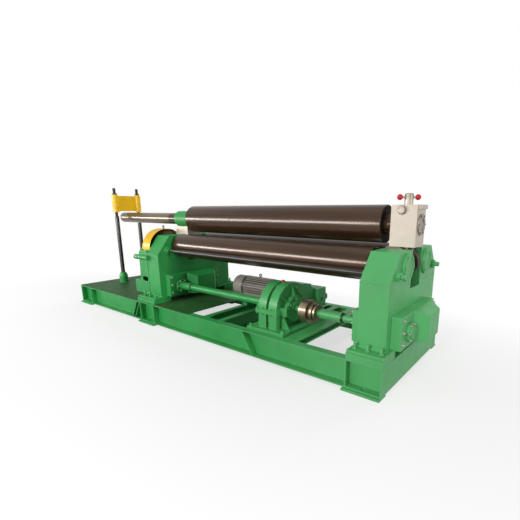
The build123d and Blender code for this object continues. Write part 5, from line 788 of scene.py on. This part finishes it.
def flange_bolts(name, left, right, front, rear, split_z, side_rows):
    """Bolts through a split flange of this outline, near its edge, heads above and nuts below."""
    ends = [left + FLANGE_EDGE, right - FLANGE_EDGE]
    between = [left + share * (right - left) for share in FLANGE_SHARES]
    rows = [(x, y) for y in (front + FLANGE_EDGE, rear - FLANGE_EDGE) for x in ends + between]
    rows += [(x, y) for x in ends for y in side_rows]
    for level, way in (("heads", 1), ("nuts", -1)):
        set_copies(name + "_" + level, slim_bolt, [(x, y, split_z + way * SPLIT_FLANGE) for x, y in rows],
                   (0, 0, way), green_enamel, "frame")


flange_bolts("lift_reducer_flange", left=1.152, right=1.422, front=-0.610, rear=0.315,
             split_z=LIFT_SHAFT_Z, side_rows=(-0.08, 0.03))
REDUCER_FOOT_Z = 0.300
FOOT_INSET = 0.027
foot_low, foot_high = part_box("lift_reducer_base")
foot_places = [(x, y, REDUCER_FOOT_Z) for x in (foot_low[0] + FOOT_INSET, foot_high[0] - FOOT_INSET)
               for y in (foot_low[1] + FOOT_INSET, foot_high[1] - FOOT_INSET)]
set_copies("lift_reducer_foot_bolts", medium_bolt, foot_places, (0, 0, 1),
           green_enamel, "frame")
BREATHER_PLACE = (REDUCER_MIDDLE_X, LIFT_SHAFT_Y, 0.718)
BREATHER_FOOT = 0.003
BREATHER_STRETCH = 0.026
breather = socket_screw(radius=0.015)
shift_points(breather, lambda point: point.z > BREATHER_FOOT, (0, 0, BREATHER_STRETCH))
set_copies("breather_plug", breather, [BREATHER_PLACE], (0, 0, 1), red_plastic, "frame")
bpy.data.objects.remove(breather)
DRAIN_PLACE = (REDUCER_MIDDLE_X, -0.556, 0.352)
drain_plug = hex_bolt(across=0.018, stud=0.02)
set_copies("drain_plug", drain_plug, [DRAIN_PLACE], (0, -1, 0), black_steel, "frame")
bpy.data.objects.remove(drain_plug)


# Motors: ribbed cast frames, sheet cowls and terminal boxes in grey paint, the lift motor on a green stool
# across the base. Grime and painted shade darken the paint between the ribs, and a black ring is the
# painted shade in the gap behind each cowl.
def grey_paint(name):
    """Grey stoving paint: a warm half-matt grey, a little dusty."""
    return enamel(name, "938d82", "b8b4aa", "8a8274", dust_share=0.3, gloss=0.42)


GRIME_AND_SHADE_SHARE = 0.8


def ribbed_paint(name, axis_y, axis_z, root_r, tip_r):
    """Grey paint on a ribbed casting, darkened by grime and painted shade from the foot of the ribs to near
    their tips.
    """
    material = grey_paint(name)
    tree = material.node_tree
    shader = tree.nodes["Principled BSDF"]
    painted = shader.inputs["Base Color"].links[0].from_socket
    place = add(tree, "ShaderNodeTexCoord").outputs["Object"]
    across = add(tree, "ShaderNodeMapping", {"Location": (0, -axis_y, -axis_z), "Scale": (0, 1, 1)},
                 {"Vector": place})
    reach = add(tree, "ShaderNodeVectorMath", {"operation": "LENGTH"}, {0: across.outputs[0]})
    # Painted shade with grime: the paint darkens towards the foot of the ribs
    depth = add(tree, "ShaderNodeMapRange", {1: root_r, 2: tip_r, 3: GRIME_AND_SHADE_SHARE, 4: 0.0},
                {0: reach.outputs["Value"]})
    grimy_and_shaded = add(tree, "ShaderNodeMix", {"data_type": "RGBA", 7: linear("35302a")},
                {0: depth.outputs[0], 6: painted})
    tree.links.new(grimy_and_shaded.outputs[2], shader.inputs["Base Color"])
    return material


plain_motor_paint = grey_paint("grey_motor_paint")
LIFT_MOTOR_Y = 0.17
LIFT_MOTOR_R = 0.125
LIFT_COWL_END_X = 0.2985
MAIN_MOTOR_Y = 0.4
MAIN_MOTOR_R = 0.15
MAIN_COWL_END_X = -2.0375
RIB_TIP = 1.09
GAP_RING_RIM = 1.11
GAP_RING_BORE = 0.9
GAP_RING_WIDTH = 0.022
# Black rings in the gap behind each cowl are painted shade
gap_rings = []
for node, axis_y, axis_z, barrel_r, cowl_end_x in (
        ("lift_motor", LIFT_MOTOR_Y, LIFT_SHAFT_Z, LIFT_MOTOR_R, LIFT_COWL_END_X),
        ("main_motor", MAIN_MOTOR_Y, PINION_Z, MAIN_MOTOR_R, MAIN_COWL_END_X)):
    paint = ribbed_paint(node + "_grey_paint", axis_y, axis_z, barrel_r, barrel_r * RIB_TIP)
    rounded(node, BAR_EDGE, paint)
    gap_rings.append(ring(cowl_end_x, cowl_end_x + GAP_RING_WIDTH, barrel_r * GAP_RING_RIM,
                          barrel_r * GAP_RING_BORE, axis_y, axis_z))
join("cowl_gap_shade_rings", gap_rings, black_steel, "frame")
for node in ("motor_cowls", "terminal_boxes"):
    rounded(node, SHEET_EDGE, plain_motor_paint)
rounded("lift_motor_stool", PLATE_EDGE, green_enamel)
for node in ("lift_motor_shaft", "main_motor_shaft"):
    rounded(node, FINE_EDGE, shaft_steel)
BOX_SCREW_SPAN = 0.042
BOX_RISE = 0.03
LIFT_LID = (0.584, 0.3625, LIFT_SHAFT_Z + BOX_RISE)
MAIN_LID = (-1.8165, 0.62, PINION_Z + BOX_RISE)
lid_screw = socket_screw(radius=0.006)
lid_places = [(x + side_x * BOX_SCREW_SPAN, y, z + side_z * BOX_SCREW_SPAN)
              for x, y, z in (LIFT_LID, MAIN_LID) for side_x in (-1, 1) for side_z in (-1, 1)]
set_copies("terminal_lid_screws", lid_screw, lid_places, (0, 1, 0), plated_steel, "frame")
bpy.data.objects.remove(lid_screw)

# Main drive: a cast-iron reducer on welded tables at the left end, with the same green enamel and bolts
# as the lift drive.
for node, radius in (("main_reducer_base", CAST_EDGE), ("main_reducer_cover", CAST_EDGE),
                     ("main_drive_stools", PLATE_EDGE)):
    rounded(node, radius, green_enamel)
flange_bolts("main_reducer_flange", left=-1.480, right=-1.110, front=-0.260, rear=0.570,
             split_z=PINION_Z, side_rows=(0.22, 0.29))
MAIN_LUGS_X = (-1.51, -1.08)
MAIN_LUG_Y = 0.145
MAIN_LUG_TOP_Z = 0.858
main_lugs = [(x, side * MAIN_LUG_Y, MAIN_LUG_TOP_Z) for x in MAIN_LUGS_X for side in (-1, 1)]
set_copies("main_reducer_lug_bolts", medium_bolt, main_lugs, (0, 0, 1), green_enamel, "frame")
MAIN_FEET_X = (-1.44, -1.15)
MAIN_FEET_Y = (-0.266, 0.576)
MAIN_FOOT_Z = 0.598
main_feet = [(x, y, MAIN_FOOT_Z) for x in MAIN_FEET_X for y in MAIN_FEET_Y]
set_copies("main_reducer_foot_bolts", medium_bolt, main_feet, (0, 0, 1),
           green_enamel, "frame")
for pattern in (medium_bolt, small_bolt, slim_bolt):
    bpy.data.objects.remove(pattern)

# Tail balance: two blackened steel posts in green sockets, with a yellow crosshead that a nut on each post
# holds down. The upper part of each post is threaded.
rounded("post_sockets", PLATE_EDGE, green_enamel)
posts = rounded("balance_posts", FINE_EDGE, black_steel)
POST_X = -2.205
POST_Y = 0.185
POST_THREAD_R = 0.022
POST_THREAD_Z = 1.35
POST_TOP_Z = 1.77
POST_MIDDLE_Z = 1.5
POST_OVERLAP = 0.004
post_thread = screw_thread(POST_THREAD_R, POST_TOP_Z - POST_THREAD_Z, pitch=0.007, sides=20)
shift_points(posts, lambda point: point.z > POST_MIDDLE_Z, (0, 0, POST_THREAD_Z + POST_OVERLAP - POST_TOP_Z))
set_copies("post_threads", post_thread, [(POST_X, side * POST_Y, POST_THREAD_Z) for side in (-1, 1)],
           (0, 0, 1), black_steel, "frame")
bpy.data.objects.remove(post_thread)
rounded("crosshead", SHEET_EDGE, yellow_enamel)
rounded("crosshead_nuts", BAR_EDGE, black_steel)


# Studio floor and surround: a sheet of white paper and a white surround, which stay white for the camera and
# in reflections, and light the machine no more than a grey workshop does.
def background_rays(tree):
    """1 for rays from the camera, a reflection or glass, and 0 for rays that light the machine."""
    rays = add(tree, "ShaderNodeLightPath")
    direct = add(tree, "ShaderNodeMath", {"operation": "MAXIMUM"},
                 {0: rays.outputs["Is Camera Ray"], 1: rays.outputs["Is Glossy Ray"]})
    shown = add(tree, "ShaderNodeMath", {"operation": "MAXIMUM"},
                {0: direct.outputs[0], 1: rays.outputs["Is Transmission Ray"]})
    return shown.outputs[0]


FLOOR_SIZE = 80
bpy.ops.object.select_all(action="DESELECT")
bpy.ops.mesh.primitive_plane_add(size=FLOOR_SIZE, location=(0, 0, 0))
floor = bpy.context.active_object
floor.name = "studio_floor"
paper = bpy.data.materials.new("white_paper_floor")
paper.use_nodes = True
paper_tree = paper.node_tree
paper_shader = paper_tree.nodes["Principled BSDF"]
paper_shader.inputs["Roughness"].default_value = 0.9
paper_rays = add(paper_tree, "ShaderNodeLightPath")
paper_colour = add(paper_tree, "ShaderNodeMix",
                   {"data_type": "RGBA", 6: linear("8a8a88"), 7: linear("f4f4f2")},
                   {0: paper_rays.outputs["Is Camera Ray"]})
paper_tree.links.new(paper_colour.outputs[2], paper_shader.inputs["Base Color"])
# The paper keeps part of the shadow close to the machine, inside an oval, and fades to plain white round it
SHADOW_SHARE = 0.34
OVAL_X = 3.0
OVAL_Y = 1.3
FADE_START = 0.8
FADE_END = 1.9
oval = add(paper_tree, "ShaderNodeMapping", {"Scale": (1 / OVAL_X, 1 / OVAL_Y, 1)},
           {"Vector": add(paper_tree, "ShaderNodeTexCoord").outputs["Object"]})
away = add(paper_tree, "ShaderNodeVectorMath", {"operation": "LENGTH"}, {0: oval.outputs[0]})
fade = add(paper_tree, "ShaderNodeMapRange", {1: FADE_START, 2: FADE_END, 3: 1 - SHADOW_SHARE, 4: 1.0},
           {0: away.outputs["Value"]})
share = add(paper_tree, "ShaderNodeMath", {"operation": "MULTIPLY"},
            {0: background_rays(paper_tree), 1: fade.outputs[0]})
sheet = add(paper_tree, "ShaderNodeEmission", {"Color": (1, 1, 1, 1), "Strength": 1.0})
blend = add(paper_tree, "ShaderNodeMixShader", {},
            {0: share.outputs[0], 1: paper_shader.outputs[0], 2: sheet.outputs[0]})
paper_tree.links.new(blend.outputs[0], paper_tree.nodes["Material Output"].inputs["Surface"])
floor.data.materials.append(paper)

AMBIENT = 0.14
world = bpy.data.worlds.new("white_surround")
bpy.context.scene.world = world
world.use_nodes = True
world_tree = world.node_tree
world_level = add(world_tree, "ShaderNodeMapRange", {1: 0.0, 2: 1.0, 3: AMBIENT, 4: 1.0},
                  {0: background_rays(world_tree)})
world_tree.nodes["Background"].inputs["Color"].default_value = (1, 1, 1, 1)
world_tree.links.new(world_level.outputs[0], world_tree.nodes["Background"].inputs["Strength"])


# Lamps: a soft key from the front, a weak top light, fills from the right and from behind, a long tube with
# its reflector along the front, and a spot on the near stand. None of them shows in the picture.
def hang(name, light, place, direction):
    """Sets a lamp at a place so that it shines along a direction."""
    holder = bpy.data.objects.new(name, light)
    bpy.context.scene.collection.objects.link(holder)
    holder.location = place
    holder.rotation_euler = Vector(direction).to_track_quat("-Z", "Y").to_euler()
    return holder


def sun(name, direction, power, spread, gloss=True):
    """Soft distant lamp that fills an angle of spread degrees; without gloss it leaves no glint."""
    light = bpy.data.lights.new(name, "SUN")
    light.energy = power
    light.angle = math.radians(spread)
    hang(name, light, (0, 0, 0), direction).visible_glossy = gloss


sun("front_key", (0.0, 1.0, -0.38), power=1.38, spread=12)
sun("top_light", (0.0, 0.15, -1.0), power=0.35, spread=50)
sun("side_fill", (-1.0, 0.05, -0.12), power=1.05, spread=6)
# The fill from behind lights the far side and leaves no glint on the top of the rolls
sun("back_fill", (-0.15, -1.0, -0.3), power=1.5, spread=30, gloss=False)
TUBE_LENGTH = 9.5


def panel(name, place, height, power, matt=True):
    """Flat lamp along the front that isn't seen itself; unless matt, it only shows in gloss."""
    light = bpy.data.lights.new(name, "AREA")
    light.shape = "RECTANGLE"
    light.size = TUBE_LENGTH
    light.size_y = height
    light.energy = power
    holder = hang(name, light, place, (0, 1, 0))
    holder.visible_camera = False
    holder.visible_diffuse = matt


# A tube along the front, a little above the upper roll, in a reflector whose glow draws a streak along every
# roll and shaft
panel("front_tube", (-3.75, -3.1, 1.46), height=0.12, power=84)
panel("tube_reflector", (-3.75, -3.12, 1.48), height=0.6, power=380, matt=False)
# A spot at the right front lifts the near stand
SPOT_PLACE = Vector((3.6, -3.6, 1.6))
SPOT_TARGET = Vector((2.35, -0.5, 0.75))
SPOT_DEGREES = 42
spot = bpy.data.lights.new("right_spot", "SPOT")
spot.energy = 115
spot.spot_size = math.radians(SPOT_DEGREES)
spot.spot_blend = 1.0
spot.shadow_soft_size = 0.5
hang("right_spot", spot, SPOT_PLACE, SPOT_TARGET - SPOT_PLACE)

# Camera: at the photograph's place, solved from the edges of the base and the stands. The picture's
# middle lies off the lens's axis, so the frame is shifted.
CAMERA_PLACE = (3.494, -3.088, 1.45)
# Angles are in degrees, and the sensor in millimetres
LOOK_DOWN = 13.5
LOOK_LEFT = 36.9
SENSOR_WIDTH = 36
FOCAL_PIXELS = 353
FRAME_PIXELS = 520
CENTRE_PIXELS = (294, 294)
camera_data = bpy.data.cameras.new("camera")
camera = bpy.data.objects.new("camera", camera_data)
bpy.context.scene.collection.objects.link(camera)
camera.location = CAMERA_PLACE
camera.rotation_euler = (math.radians(90 - LOOK_DOWN), 0, math.radians(LOOK_LEFT))
camera_data.sensor_width = SENSOR_WIDTH
camera_data.lens = SENSOR_WIDTH * FOCAL_PIXELS / FRAME_PIXELS
camera_data.shift_x = (FRAME_PIXELS / 2 - CENTRE_PIXELS[0]) / FRAME_PIXELS
camera_data.shift_y = (CENTRE_PIXELS[1] - FRAME_PIXELS / 2) / FRAME_PIXELS
bpy.context.scene.camera = camera
bpy.context.scene.view_settings.view_transform = "Standard"
